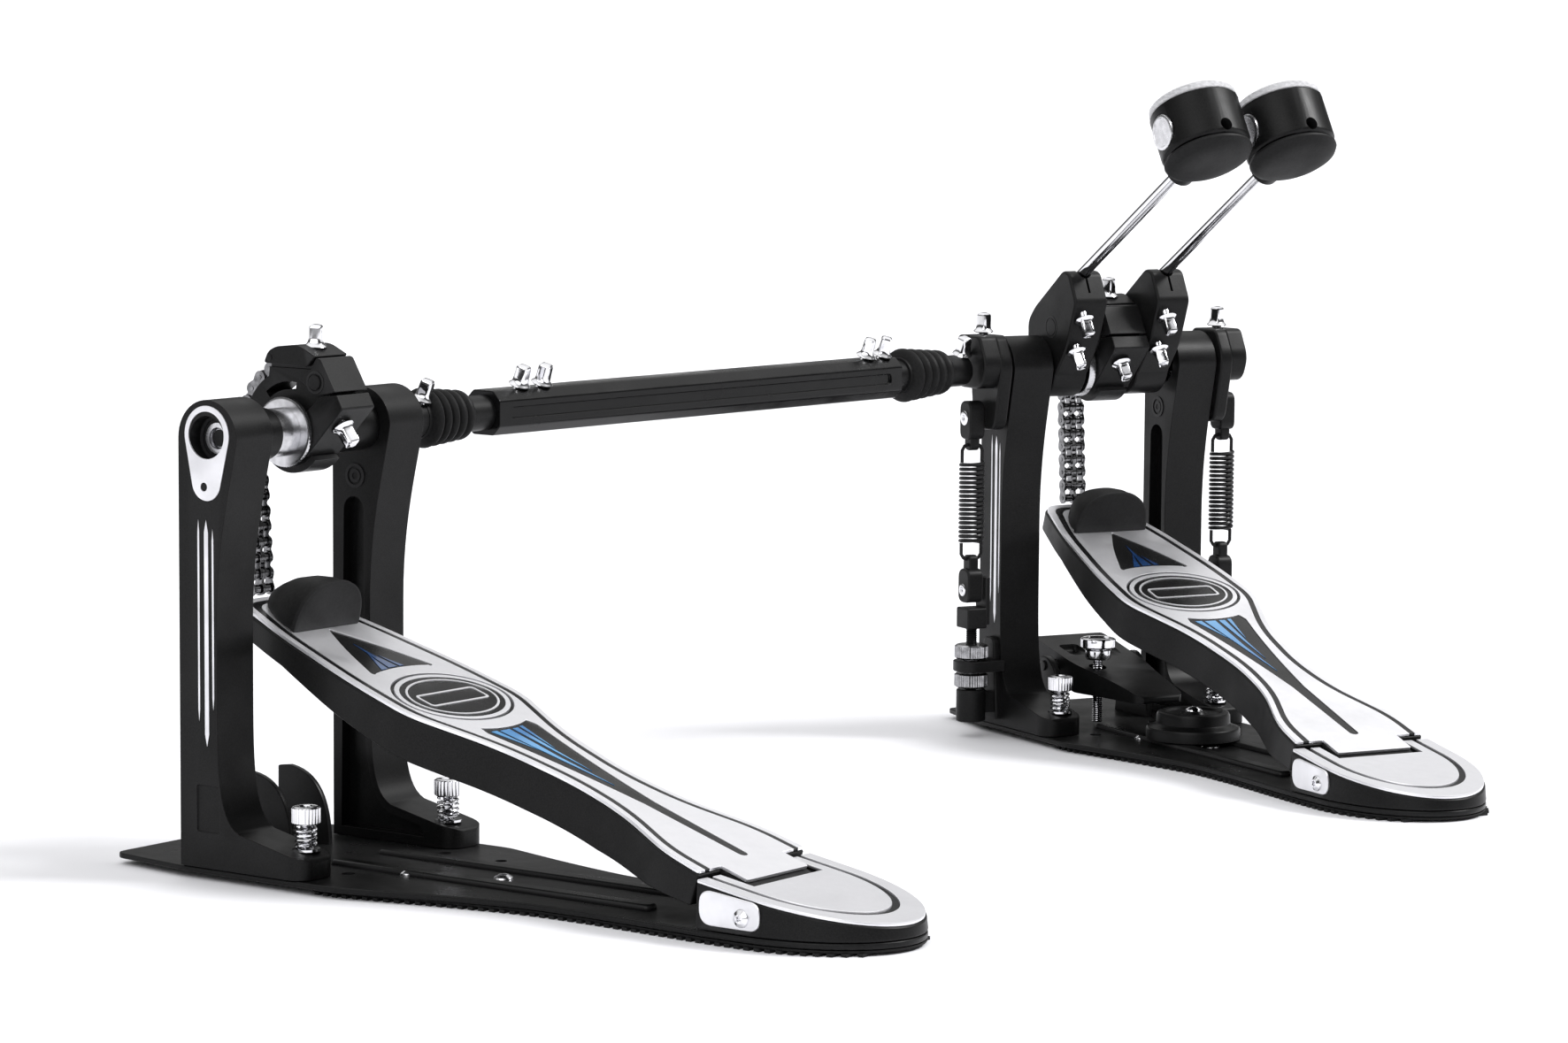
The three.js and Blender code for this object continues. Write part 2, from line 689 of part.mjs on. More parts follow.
const mainPedal = new THREE.Group();
pedal(mainPedal, "main", {
  bearingRadius: SLEEVE_R,
  springBrackets: true,
  extras: clampPivotEars(),
  shaft: mainShaft(),
});
beater(mainPedal, "left", LEFT_BEATER_X, SLEEVE_R);
beater(mainPedal, "right", RIGHT_BEATER_X, AXLE_R);
add(mainPedal, "left_crank", leftCrank(), CAST_BLACK);
add(mainPedal, "right_crank", rightCrank(), CAST_BLACK);
springSide(mainPedal, "left", -1);
springSide(mainPedal, "right", 1);
add(mainPedal, "clamp_rocker", clampRocker(), CAST_BLACK);
add(mainPedal, "clamp_knob", clampKnob(), CHROME);
add(mainPedal, "clamp_disc", clampDisc(), PLASTIC);
pedalSet.add(mainPedal);

const slavePedal = new THREE.Group();
slavePedal.position.set(...SLAVE_ORIGIN);
slavePedal.rotation.z = SLAVE_YAW;
pedal(slavePedal, "slave", {
  bearingRadius: AXLE_R,
  springBrackets: false,
  extras: slaveCheeks(),
  shaft: slaveShaft(),
});
const yoke = turnedX([[79, 0], [79, 8.5], [93, 8.5], [93, 0]]);
const yokeBore = pinX(AXLE_R + GAP, 70, 85);
add(slavePedal, "slave_yoke", cut(yoke, yokeBore).translate(0, 0, AXLE_Z), CAST_BLACK);
pedalSet.add(slavePedal);

const slaveJoint = new THREE.Vector3(JOINT_X, 0, AXLE_Z)
  .applyAxisAngle(new THREE.Vector3(0, 0, 1), SLAVE_YAW)
  .add(new THREE.Vector3(...SLAVE_ORIGIN));
const mainJoint = new THREE.Vector3(-JOINT_X, 0, AXLE_Z);
const reach = mainJoint.clone().sub(slaveJoint);
const drive = new THREE.Group();
drive.position.copy(slaveJoint);
drive.rotation.z = Math.atan2(reach.y, reach.x);
driveLine(drive, reach.length());
pedalSet.add(drive);

export default pedalSet;
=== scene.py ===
"""Looks for a twin bass drum pedal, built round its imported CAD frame.

Shapes are written in millimetres in a pedal's own axes: +X along the axle, +Y
towards the drum, +Z up, origin on the floor under the axle. A place matrix takes
them to the row frame in metres. Side outlines are (y, z) and plans are (x, y).
"""
import json
import math

import bmesh
import bpy
from mathutils import Matrix, Vector


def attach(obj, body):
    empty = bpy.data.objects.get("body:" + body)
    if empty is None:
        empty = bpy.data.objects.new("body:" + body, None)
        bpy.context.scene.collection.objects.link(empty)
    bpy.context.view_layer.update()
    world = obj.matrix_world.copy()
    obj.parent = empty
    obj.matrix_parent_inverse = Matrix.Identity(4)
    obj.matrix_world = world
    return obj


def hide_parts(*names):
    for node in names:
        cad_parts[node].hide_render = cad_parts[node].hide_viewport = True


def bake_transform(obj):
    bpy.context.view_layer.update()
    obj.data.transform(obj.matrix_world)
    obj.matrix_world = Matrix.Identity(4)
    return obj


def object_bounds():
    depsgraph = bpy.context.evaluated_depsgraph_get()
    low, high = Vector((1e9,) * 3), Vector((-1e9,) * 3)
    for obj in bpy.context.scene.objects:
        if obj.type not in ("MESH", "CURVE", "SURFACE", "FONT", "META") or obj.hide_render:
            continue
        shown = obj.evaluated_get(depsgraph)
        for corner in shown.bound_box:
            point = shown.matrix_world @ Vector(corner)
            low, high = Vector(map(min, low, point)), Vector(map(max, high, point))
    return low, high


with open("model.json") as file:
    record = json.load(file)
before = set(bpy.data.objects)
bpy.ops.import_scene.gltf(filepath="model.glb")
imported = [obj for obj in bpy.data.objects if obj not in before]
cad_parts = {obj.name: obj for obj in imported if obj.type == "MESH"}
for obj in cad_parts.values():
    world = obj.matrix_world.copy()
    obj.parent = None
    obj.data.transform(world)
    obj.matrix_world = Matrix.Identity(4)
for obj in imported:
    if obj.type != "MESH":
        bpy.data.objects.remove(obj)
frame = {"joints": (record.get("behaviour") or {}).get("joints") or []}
cad_box = [list(corner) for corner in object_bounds()]
JOINTS = {joint["name"]: joint for joint in frame["joints"]}

# ---- Driving dimensions, in millimetres ----
AXLE_Z = JOINTS["main_cam_turn"]["pos_m"][2] * 1000
HINGE_Y = JOINTS["main_pedal_press"]["pos_m"][1] * 1000
HINGE_Z = JOINTS["main_pedal_press"]["pos_m"][2] * 1000
MAT_TOP, PLATE_BOTTOM, PLATE_TOP = 2.7, 3.0, 6.0
POST_IN, POST_OUT, POST_R = 43.0, 69.0, 19.0
FOOT_FRONT = -60.0
HEEL_HALF, HEEL_FRONT, HEEL_ROUND, HEEL_TIP = 44.5, -276.3, -302.0, -366.0
HEEL_TOP, HEEL_SLOPE = 29.0, 0.17
BOARD_ANGLE = math.radians(18.25)
BOARD_TOP, TREAD_BOTTOM, TREAD_TOP = 6.7, 7.0, 8.6
TONGUE_HALF, TONGUE_TIP = 24.0, 16.0
CAM_HALF, CAM_RIM, CHAIN_R, CHAIN_PITCH = 12.0, 30.0, 33.5, 7.7
ROD_ANGLE, ROD_OFFSET, ROD_R = math.radians(59), 33.4, 3.3
HEAD_R, HEAD_HALF, HEAD_ALONG, HEAD_OFFSET = 25.4, 21.4, 203.6, 42.2
BEATER_X = {"left": -30.0, "right": 26.0}
SPRING_X, SPRING_R, SPRING_WIRE = 86.0, 6.6, 1.05
COIL_LOW, COIL_HIGH = 114.0, 161.0
TENSION_X = 85
SPUR_X, SPUR_Y = 53, -48
BADGE_Y = 221
CLAMP_SCREW_AT = (-12, -22)
CLAMP_PIVOT = (0, 6, 38)
CAP_Y = -108
AXLE_BORE, SLEEVE_BORE = 5.3, 8.3
SIDES = (("left", -1), ("right", 1))

# ---- Camera, at the angle the pedal is seen from ----
CAMERA_AT = (-1.4550, -2.3888, 0.4214)
CAMERA_TURN, CAMERA_TILT, CAMERA_ROLL = 27.547, 6.137, 0.407
CAMERA_LENS, CAMERA_SENSOR = 109.12, 36.0


def make_camera():
    data = bpy.data.cameras.new("camera")
    data.lens, data.sensor_width = CAMERA_LENS, CAMERA_SENSOR
    data.clip_end = 200
    camera = bpy.data.objects.new("camera", data)
    bpy.context.scene.collection.objects.link(camera)
    turn = Matrix.Rotation(math.radians(-CAMERA_TURN), 4, "Z")
    tilt = Matrix.Rotation(math.radians(90 - CAMERA_TILT), 4, "X")
    roll = Matrix.Rotation(math.radians(CAMERA_ROLL), 4, "Z")
    camera.matrix_world = Matrix.Translation(CAMERA_AT) @ turn @ tilt @ roll
    bpy.context.scene.camera = camera


# ---- Studio: pale floor, soft light, and a darker band for metal to reflect ----

SKY_STOPS = [(0.0, 1.0), (0.05, 0.9), (0.10, 0.10), (0.34, 0.10), (0.50, 0.95), (1.0, 1.25)]
SKY_STRENGTH = 1.05
DARK_SIDE, DARK_START, DARK_FULL, DARK_SHARE = (-0.46, -0.88, 0.0), 0.25, 0.75, 0.22
FLOOR_RADIUS = 60


def make_sun(name, toward, strength, softness):
    data = bpy.data.lights.new(name, "SUN")
    data.energy, data.angle = strength, math.radians(softness)
    sun = bpy.data.objects.new(name, data)
    bpy.context.scene.collection.objects.link(sun)
    sun.matrix_world = Vector(toward).to_track_quat("-Z", "Y").to_matrix().to_4x4()


def sky_height(tree, direction):
    """Brightness by how high a direction points."""
    split = tree.nodes.new("ShaderNodeSeparateXYZ")
    ramp = tree.nodes.new("ShaderNodeValToRGB")
    tree.links.new(direction, split.inputs[0])
    tree.links.new(split.outputs["Z"], ramp.inputs[0])
    elements = ramp.color_ramp.elements
    while len(elements) < len(SKY_STOPS):
        elements.new(0.5)
    for element, (position, value) in zip(elements, SKY_STOPS):
        element.position, element.color = position, (value, value, value, 1)
    return ramp.outputs["Color"]


def sky_side(tree, direction):
    """A share that falls off towards the dark side of the studio."""
    front = tree.nodes.new("ShaderNodeVectorMath")
    front.operation = "DOT_PRODUCT"
    front.inputs[1].default_value = DARK_SIDE
    tree.links.new(direction, front.inputs[0])
    return ranged(tree, front.outputs["Value"], 1.0, DARK_SHARE, DARK_START, DARK_FULL)


def make_world():
    """A plain white backdrop, with a dark band and a dark side only for reflections."""
    world = bpy.data.worlds.new("studio")
    bpy.context.scene.world = world
    bpy.context.scene.view_settings.view_transform = "Standard"
    world.use_nodes = True
    tree = world.node_tree
    direction = tree.nodes.new("ShaderNodeTexCoord").outputs["Generated"]
    shaded = tree.nodes.new("ShaderNodeVectorMath")
    shaded.operation = "SCALE"
    tree.links.new(sky_height(tree, direction), shaded.inputs[0])
    tree.links.new(sky_side(tree, direction), shaded.inputs["Scale"])
    backdrop = tree.nodes.new("ShaderNodeMix")
    backdrop.data_type = "VECTOR"
    backdrop.inputs["B"].default_value = (1.0, 1.0, 1.0)
    seen = tree.nodes.new("ShaderNodeLightPath").outputs["Is Camera Ray"]
    tree.links.new(seen, backdrop.inputs["Factor"])
    tree.links.new(shaded.outputs["Vector"], backdrop.inputs["A"])
    shader = tree.nodes["Background"]
    tree.links.new(backdrop.outputs["Result"], shader.inputs["Color"])
    shader.inputs["Strength"].default_value = SKY_STRENGTH


def make_floor():
    shape = bmesh.new()
    bmesh.ops.create_circle(shape, cap_ends=True, radius=FLOOR_RADIUS, segments=64)
    mesh = bpy.data.meshes.new("studio_floor")
    shape.to_mesh(mesh)
    shape.free()
    mesh.materials.append(floor_paint())
    floor = bpy.data.objects.new("studio_floor", mesh)
    bpy.context.scene.collection.objects.link(floor)
    floor.location.z = cad_box[0][2]


# ---- Materials ----

def add_node(tree, kind, **inputs):
    node = tree.nodes.new("ShaderNode" + kind)
    for key, value in inputs.items():
        node.inputs[key.replace("_", " ")].default_value = value
    return node


def grey(value):
    return (value, value, value * 1.03, 1)


def bare_material(name, metallic, roughness, **sockets):
    material = bpy.data.materials.new(name)
    material.use_nodes = True
    shader = material.node_tree.nodes["Principled BSDF"]
    shader.inputs["Metallic"].default_value = metallic
    shader.inputs["Roughness"].default_value = roughness
    for key, value in sockets.items():
        shader.inputs[key.replace("_", " ")].default_value = value
    return material, material.node_tree, shader


def noise(tree, scale, detail=3.0, stretch=(1, 1, 1)):
    """Noise over the object's own coordinates, which are metres of the row frame."""
    coordinates = tree.nodes.new("ShaderNodeTexCoord")
    mapping = add_node(tree, "Mapping", Scale=stretch)
    texture = add_node(tree, "TexNoise", Scale=scale, Detail=detail)
    tree.links.new(coordinates.outputs["Object"], mapping.inputs["Vector"])
    tree.links.new(mapping.outputs["Vector"], texture.inputs["Vector"])
    return texture.outputs["Fac"]


def ranged(tree, value, low, high, start=0.3, end=0.7):
    """value, from start to end, mapped to low to high."""
    node = add_node(tree, "MapRange", From_Min=start, From_Max=end, To_Min=low, To_Max=high)
    tree.links.new(value, node.inputs["Value"])
    return node.outputs["Result"]


def mixer(tree, factor, second):
    """A colour mix towards the second colour, whose first is still to be set."""
    node = tree.nodes.new("ShaderNodeMix")
    node.data_type = "RGBA"
    tree.links.new(factor, node.inputs["Factor"])
    node.inputs[7].default_value = second
    return node.inputs[6], node.outputs[2]


def two_colours(tree, factor, first, second):
    start, result = mixer(tree, factor, second)
    start.default_value = first
    return result


def worn_edges(tree, colour, edge):
    """Lightens the convex edges a little, where a finish rubs through."""
    geometry = tree.nodes.new("ShaderNodeNewGeometry")
    factor = ranged(tree, geometry.outputs["Pointiness"], 0.0, 0.55, 0.53, 0.6)
    start, result = mixer(tree, factor, edge)
    tree.links.new(colour, start)
    return result


def bump(tree, shader, height, strength, distance):
    node = add_node(tree, "Bump", Strength=strength, Distance=distance)
    tree.links.new(height, node.inputs["Height"])
    tree.links.new(node.outputs["Normal"], shader.inputs["Normal"])


def coated(name, dark, light, roughness, grain, edge, metallic=0.0, strength=0.35):
    """A powder or moulded finish: fine grain, uneven gloss and rubbed edges."""
    material, tree, shader = bare_material(name, metallic, roughness, Specular_IOR_Level=0.16)
    fine = noise(tree, grain, 4.0)
    colour = two_colours(tree, ranged(tree, fine, 0, 1), grey(dark), grey(light))
    tree.links.new(worn_edges(tree, colour, grey(edge)), shader.inputs["Base Color"])
    broad = ranged(tree, noise(tree, 38, 3.0), roughness - 0.07, roughness + 0.09)
    tree.links.new(broad, shader.inputs["Roughness"])
    bump(tree, shader, fine, strength, 0.00012)
    return material


def metal(name, dark, light, smooth, rough, scale, stretch=(1, 1, 1), strength=0.08):
    """Bare or plated metal: slight cloudiness in its colour and its gloss."""
    material, tree, shader = bare_material(name, 1.0, smooth)
    cloud = noise(tree, scale, 5.0, stretch)
    colour = two_colours(tree, ranged(tree, cloud, 0, 1), grey(dark), grey(light))
    tree.links.new(colour, shader.inputs["Base Color"])
    tree.links.new(ranged(tree, cloud, rough, smooth), shader.inputs["Roughness"])
    bump(tree, shader, noise(tree, scale * 9, 3.0, stretch), strength, 0.00006)
    return material


def blue_film(name, dark, light):
    """Printed streaks under lacquer."""
    material, tree, shader = bare_material(name, 0.0, 0.22, Coat_Weight=0.3)
    tone = ranged(tree, noise(tree, 24, 2.0), 0, 1, 0.35, 0.65)
    colour = two_colours(tree, tone, dark, light)
    tree.links.new(colour, shader.inputs["Base Color"])
    bump(tree, shader, noise(tree, 900), 0.05, 0.00005)
    return material


def felt_wool():
    material, tree, shader = bare_material("felt_wool", 0.0, 1.0, Sheen_Weight=0.35)
    fibres = noise(tree, 420, 8.0, (1, 1, 2.2))
    colour = two_colours(tree, ranged(tree, fibres, 0, 1), grey(0.40), grey(0.62))
    tree.links.new(colour, shader.inputs["Base Color"])
    bump(tree, shader, fibres, 0.7, 0.0005)
    return material


def floor_paint():
    material, tree, shader = bare_material("floor_paint", 0.0, 0.75, Specular_IOR_Level=0.1)
    tone = ranged(tree, noise(tree, 2.0), 0, 1)
    colour = two_colours(tree, tone, grey(0.86), grey(0.88))
    tree.links.new(colour, shader.inputs["Base Color"])
    return material


FINISHES = {
    "cast_black": coated("cast_black", 0.002, 0.008, 0.40, 1500, 0.03),
    "plate_black": coated("plate_black", 0.003, 0.008, 0.32, 900, 0.04, strength=0.12),
    "plastic": coated("plastic", 0.002, 0.006, 0.36, 1100, 0.015, strength=0.2),
    "gloss_black": coated("gloss_black", 0.002, 0.004, 0.22, 300, 0.012, strength=0.05),
    "rubber": coated("rubber", 0.004, 0.009, 0.55, 700, 0.02, strength=0.3),
    "wire": coated("wire", 0.002, 0.006, 0.28, 800, 0.03, strength=0.1),
    "silver": metal("silver", 0.74, 0.92, 0.38, 0.50, 42),
    "brushed": metal("brushed", 0.60, 0.72, 0.24, 0.32, 300, (0.12, 1, 1), 0.1),
    "chrome": metal("chrome", 0.72, 0.82, 0.06, 0.12, 160, strength=0.03),
    "steel": metal("steel", 0.50, 0.62, 0.20, 0.27, 260, strength=0.05),
    "chain_steel": metal("chain_steel", 0.10, 0.26, 0.16, 0.26, 300, strength=0.08),
    "nickel": metal("nickel", 0.26, 0.46, 0.18, 0.28, 300, strength=0.08),
    "blue_film": blue_film("blue_film", (0.030, 0.13, 0.33, 1), (0.075, 0.27, 0.52, 1)),
    "deep_blue": blue_film("deep_blue", (0.004, 0.018, 0.065, 1), (0.016, 0.06, 0.17, 1)),
    "felt_wool": felt_wool(),
}


# ---- Outlines ----

def rounded(corners, steps=5):
    """A closed outline through corners (x, y, radius), each one rounded off."""
    points = []
    for index, (x, y, *radius) in enumerate(corners):
        corner = Vector((x, y))
        before = Vector(corners[index - 1][:2])
        after = Vector(corners[(index + 1) % len(corners)][:2])
        room = 0.45 * min((before - corner).length, (after - corner).length)
        trim = min(radius[0] if radius else 0, room)
        if trim < 0.01:
            points.append(corner)
            continue
        start = corner + (before - corner).normalized() * trim
        end = corner + (after - corner).normalized() * trim
        for step in range(steps + 1):
            t = step / steps
            points.append(start * (1 - t) ** 2 + corner * 2 * t * (1 - t) + end * t * t)
    return points


def mirrored(corners):
    """The right-hand corners of an outline and their mirror image, as a ring."""
    left = [(-corner[0], *corner[1:]) for corner in reversed(corners)]
    return [*corners, *left]


def arc(x, y, radius, start, end, steps=12):
    """Points on a circle between two angles in degrees."""
    angles = [math.radians(start + (end - start) * i / steps) for i in range(steps + 1)]
    return [Vector((x + radius * math.cos(a), y + radius * math.sin(a))) for a in angles]


def cubic(p0, p1, p2, p3, steps=12):
    p0, p1, p2, p3 = (Vector(p) for p in (p0, p1, p2, p3))
    ts = [i / steps for i in range(1, steps + 1)]
    return [
        p0 * (1 - t) ** 3 + p1 * 3 * t * (1 - t) ** 2 + p2 * 3 * t * t * (1 - t) + p3 * t ** 3
        for t in ts
    ]


def oval(x, y, half_width, half_height, sides=48):
    return [Vector((x + half_width * p.x, y + half_height * p.y))
            for p in arc(0, 0, 1, 0, 360, sides)[:-1]]


# ---- Solids, as bmesh ----

AXES = {
    "x": lambda u, v, along: Vector((along, u, v)),
    "y": lambda u, v, along: Vector((u, along, v)),
    "z": lambda u, v, along: Vector((u, v, along)),
}


def loft(rings, closed=False):
    """A skin through rings of points, capped at both ends unless it closes."""
    shape = bmesh.new()
    loops = [[shape.verts.new(point) for point in ring] for ring in rings]
    pairs = list(zip(loops, loops[1:]))
    if closed:
        pairs.append((loops[-1], loops[0]))
    else:
        shape.faces.new(loops[0])
        shape.faces.new(loops[-1])
    for low, high in pairs:
        count = len(low)
        for i in range(count):
            j = (i + 1) % count
            shape.faces.new((low[i], low[j], high[j], high[i]))
    bmesh.ops.recalc_face_normals(shape, faces=shape.faces)
    return shape


def prism(points, low, high, axis="z"):
    place = AXES[axis]
    return loft([[place(p[0], p[1], along) for p in points] for along in (low, high)])


def turned(profile, axis="z", at=(0, 0, 0), sides=40):
    """A turned solid. Profile points are (along, radius, depth of a tooth if any)."""
    place, at = AXES[axis], Vector(at)
    closed = tuple(profile[0]) == tuple(profile[-1])
    rings = []
    for along, radius, *tooth in profile[:-1] if closed else profile:
        depth = tooth[0] if tooth else 0
        radii = [max(radius - depth * (i % 2), 0.02) for i in range(sides)]
        angles = [math.tau * i / sides for i in range(sides)]
        rings.append([at + place(r * math.cos(a), r * math.sin(a), along)
                      for r, a in zip(radii, angles)])
    return loft(rings, closed)


def across(points, x0, x1):
    """A side outline given its thickness between two x positions, in either order."""
    return prism(points, min(x0, x1), max(x0, x1), "x")


def block(low, high):
    (x0, y0, z0), (x1, y1, z1) = low, high
    return prism([(x0, y0), (x1, y0), (x1, y1), (x0, y1)], z0, z1)


def tube(path, radius, sides=8):
    """A round wire along a path of points."""
    points = [Vector(p) for p in path]
    rings, side = [], None
    for i, point in enumerate(points):
        along = (points[min(i + 1, len(points) - 1)] - points[max(i - 1, 0)]).normalized()
        side = side or along.orthogonal()
        side = (side - along * side.dot(along)).normalized()
        other = along.cross(side)
        angles = [math.tau * k / sides for k in range(sides)]
        rings.append([point + (side * math.cos(a) + other * math.sin(a)) * radius
                      for a in angles])
    return loft(rings)


def merged(*shapes):
    """Several shapes as one mesh."""
    result = bmesh.new()
    for shape in shapes:
        mesh = bpy.data.meshes.new("part")
        shape.to_mesh(mesh)
        shape.free()
        result.from_mesh(mesh)
        bpy.data.meshes.remove(mesh)
    return result


def moved(shape, matrix):
    shape.transform(matrix)
    return shape


def as_object(shape):
    mesh = bpy.data.meshes.new("working")
    shape.to_mesh(mesh)
    shape.free()
    item = bpy.data.objects.new("working", mesh)
    bpy.context.scene.collection.objects.link(item)
    return item


def combined(operation, shape, tools):
    """shape joined to, cut by or limited to each of the tools."""
    items = [as_object(s) for s in (shape, *tools)]
    for tool in items[1:]:
        modifier = items[0].modifiers.new("combine", "BOOLEAN")
        modifier.operation, modifier.solver, modifier.object = operation, "EXACT", tool
    result = bmesh.new()
    result.from_object(items[0], bpy.context.evaluated_depsgraph_get())
    for item in items:
        bpy.data.meshes.remove(item.data)
    bmesh.ops.remove_doubles(result, verts=result.verts, dist=0.01)
    bmesh.ops.dissolve_degenerate(result, edges=result.edges, dist=0.01)
    return result


def carved(shape, *tools):
    return combined("DIFFERENCE", shape, tools)


def joined(shape, *tools):
    return combined("UNION", shape, tools)


def common(shape, *tools):
    return combined("INTERSECT", shape, tools)


def soften(shape, width, segments=3, angle=32):
    """Rounds every edge that is sharper than the angle."""
    sharp = math.radians(angle)
    edges = [e for e in shape.edges if len(e.link_faces) == 2 and e.calc_face_angle(0) > sharp]
    bmesh.ops.bevel(shape, geom=edges, offset=width, segments=segments, profile=0.5,
                    affect="EDGES", clamp_overlap=True)
    return shape


# ---- Placing pieces ----

def pedal_place(joint):
    """The matrix from a pedal's own millimetres to the row frame, by its axle."""
    along = -Vector(joint["axis"])
    x, y, _ = joint["pos_m"]
    basis = Matrix((along, Vector((0, 0, 1)).cross(along), (0, 0, 1))).transposed()
    return Matrix.Translation((x, y, 0)) @ basis.to_4x4() @ Matrix.Scale(0.001, 4)


MAIN = pedal_place(JOINTS["main_cam_turn"])
SLAVE = pedal_place(JOINTS["slave_cam_turn"])


def piece(name, shape, place, body, finish, *stands_for):
    """A finished piece: it rides on its body and stands for those CAD nodes."""
    mesh = bpy.data.meshes.new(name)
    shape.transform(place)
    shape.to_mesh(mesh)
    shape.free()
    mesh.materials.append(FINISHES[finish])
    mesh.polygons.foreach_set("use_smooth", [True] * len(mesh.polygons))
    mesh.set_sharp_from_angle(angle=math.radians(35))
    made = bpy.data.objects.new(name, mesh)
    bpy.context.scene.collection.objects.link(made)
    made.modifiers.new("even_shading", "WEIGHTED_NORMAL").keep_sharp = True
    if body:
        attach(made, body)
    if stands_for:
        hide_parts(*stands_for)
    return made


def pieces(tag, place, body, *rows):
    """Pieces of one body: each a name, shape, finish and the CAD nodes it stands for."""
    for name, shape, finish, *nodes in rows:
        stands_for = [f"{tag}_{node}" for node in nodes]
        piece(f"{tag}_{name}", shape, place, body, finish, *stands_for)


def bendable(name, shape, place, bodies, start, end, finish, *stands_for):
    """A piece fixed in the row frame that rides on no body; bodies, start and end are not used."""
    made = piece(name, shape, place, None, finish, *stands_for)
    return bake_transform(made)


# ---- Small hardware ----

def facing(shape, at, toward, spin=0):
    """A shape made along +Z, stood at a point and turned to face a direction."""
    aim = Vector(toward).to_track_quat("Z", "Y").to_matrix().to_4x4()
    turn = Matrix.Rotation(math.radians(spin), 4, "Z")
    return moved(shape, Matrix.Translation(at) @ aim @ turn)


def square_ring(half, power, z, sides=32):
    """A ring between a circle, at power 2, and a square."""
    points = []
    for i in range(sides):
        angle = math.tau * (i + 0.5) / sides
        c, s = math.cos(angle), math.sin(angle)
        size = half / (abs(c) ** power + abs(s) ** power) ** (1 / power)
        points.append(Vector((c * size, s * size, z)))
    return points


KEY_NECK_STEPS, KEY_SEAT = 6, 2.2
KEY_HEAD = [
    (5.3, 2, KEY_SEAT), (5.8, 2, 2.7), (5.5, 2, 3.2), (4.4, 2.4, 4.0), (3.7, 4, 5.2),
    (3.4, 7, 7.0), (3.25, 7, 11.8), (3.0, 6, 12.7), (2.3, 4, 13.3), (1.2, 3, 13.6),
]


def key_bolt(at, toward, turn=20, reach=6.0):
    """A drum-key bolt: square head, domed top, round flange and a threaded neck."""
    neck = [(2.5 if i % 2 else 2.9, 2, -reach + (reach + KEY_SEAT) * i / KEY_NECK_STEPS)
            for i in range(KEY_NECK_STEPS + 1)]
    return facing(loft([square_ring(*step) for step in [*neck, *KEY_HEAD]]), at, toward, turn)


def star_screw(at, toward, radius=4.6):
    """A domed screw head with a six-lobed socket."""
    head = turned([(-3, radius * 0.9), (0, radius), (0.9, radius * 0.92), (1.9, radius * 0.55),
                   (2.1, radius * 0.5)], sides=36)
    lobes = [(radius * (0.44 if i % 2 else 0.29)) for i in range(12)]
    points = [Vector((r * math.cos(math.tau * i / 12), r * math.sin(math.tau * i / 12)))
              for i, r in enumerate(lobes)]
    head = carved(head, prism(points, 0.5, 4))
    return facing(soften(head, 0.15, 2), at, toward)


def knurled_knob(at, radius, height, sides=56):
    """A knurled grip that stands on its foot at the given point."""
    profile = [
        (0, radius - 1.2), (0.5, radius - 0.5), (0.9, radius, 0.5), (height - 0.9, radius, 0.5),
        (height - 0.5, radius - 0.5), (height, radius - 1.3), (height, radius - 3.2),
        (height - 0.6, radius - 3.8),
    ]
    return turned(profile, at=at, sides=sides)


def helix(radius, low, high, turns, axis_x=0.0, steps=20):
    count = int(turns * steps)
    points = []
    for i in range(count + 1):
        angle = math.tau * turns * i / count
        z = low + (high - low) * i / count
        points.append((axis_x + radius * math.cos(angle), radius * math.sin(angle), z))
    return points


# ---- Base: plate, mat and pads ----

def heel_curve(grow):
    """The right half of the rounded heel end in plan, from near its tip to its side."""
    angles = [math.radians(a) for a in range(3, 91, 6)]
    reach = HEEL_ROUND - HEEL_TIP + grow
    return [((HEEL_HALF + grow) * math.sin(a), HEEL_ROUND - reach * math.cos(a)) for a in angles]


PLATE_CORNERS = [
    *heel_curve(0.7), (HEEL_HALF + 0.7, HEEL_FRONT, 6),
    (42, -215, 10), (42, -175, 20), (52, -130, 20), (67.9, -76, 6), (67.9, 20, 4), (61, 70, 5),
]
MAT_CORNERS = [
    *heel_curve(0.5), (HEEL_HALF, HEEL_FRONT, 6),
    (41, -215, 10), (41, -175, 20), (50, -130, 20), (62, -77, 6), (62, -59, 2),
]
PAD_CORNERS = [(56, -24, 2), (56, 4, 2), (12, 4, 2), (12, 21, 2), (50, 21, 2), (50, 66, 2)]


def base_plate():
    plate = soften(prism(rounded(mirrored(PLATE_CORNERS)), PLATE_BOTTOM, PLATE_TOP), 0.8)
    round_holes = [(-36, -60, 3.4), (36, -60, 3.4), (36, -96, 3), (53, -48, 3.2), (-53, -48, 3.2)]
    holes = [turned([(0, r), (20, r)], at=(x, y, 0), sides=24) for x, y, r in round_holes]
    return carved(plate, *holes)


def plate_rib(x):
    corners = [(x - 4.5, -232, 4), (x + 4.5, -232, 4), (x + 4.5, -35, 4), (x - 4.5, -35, 4)]
    return soften(prism(rounded(corners), PLATE_TOP - 1, PLATE_TOP + 2.5), 1.8, 4)


def half_width_at(outline, y):
    """How far an outline reaches along +X at that y."""
    found = 0.0
    for a, b in zip(outline, [*outline[1:], outline[0]]):
        if (a.y - y) * (b.y - y) < 0:
            found = max(found, a.x + (b.x - a.x) * (y - a.y) / (b.y - a.y))
    return found


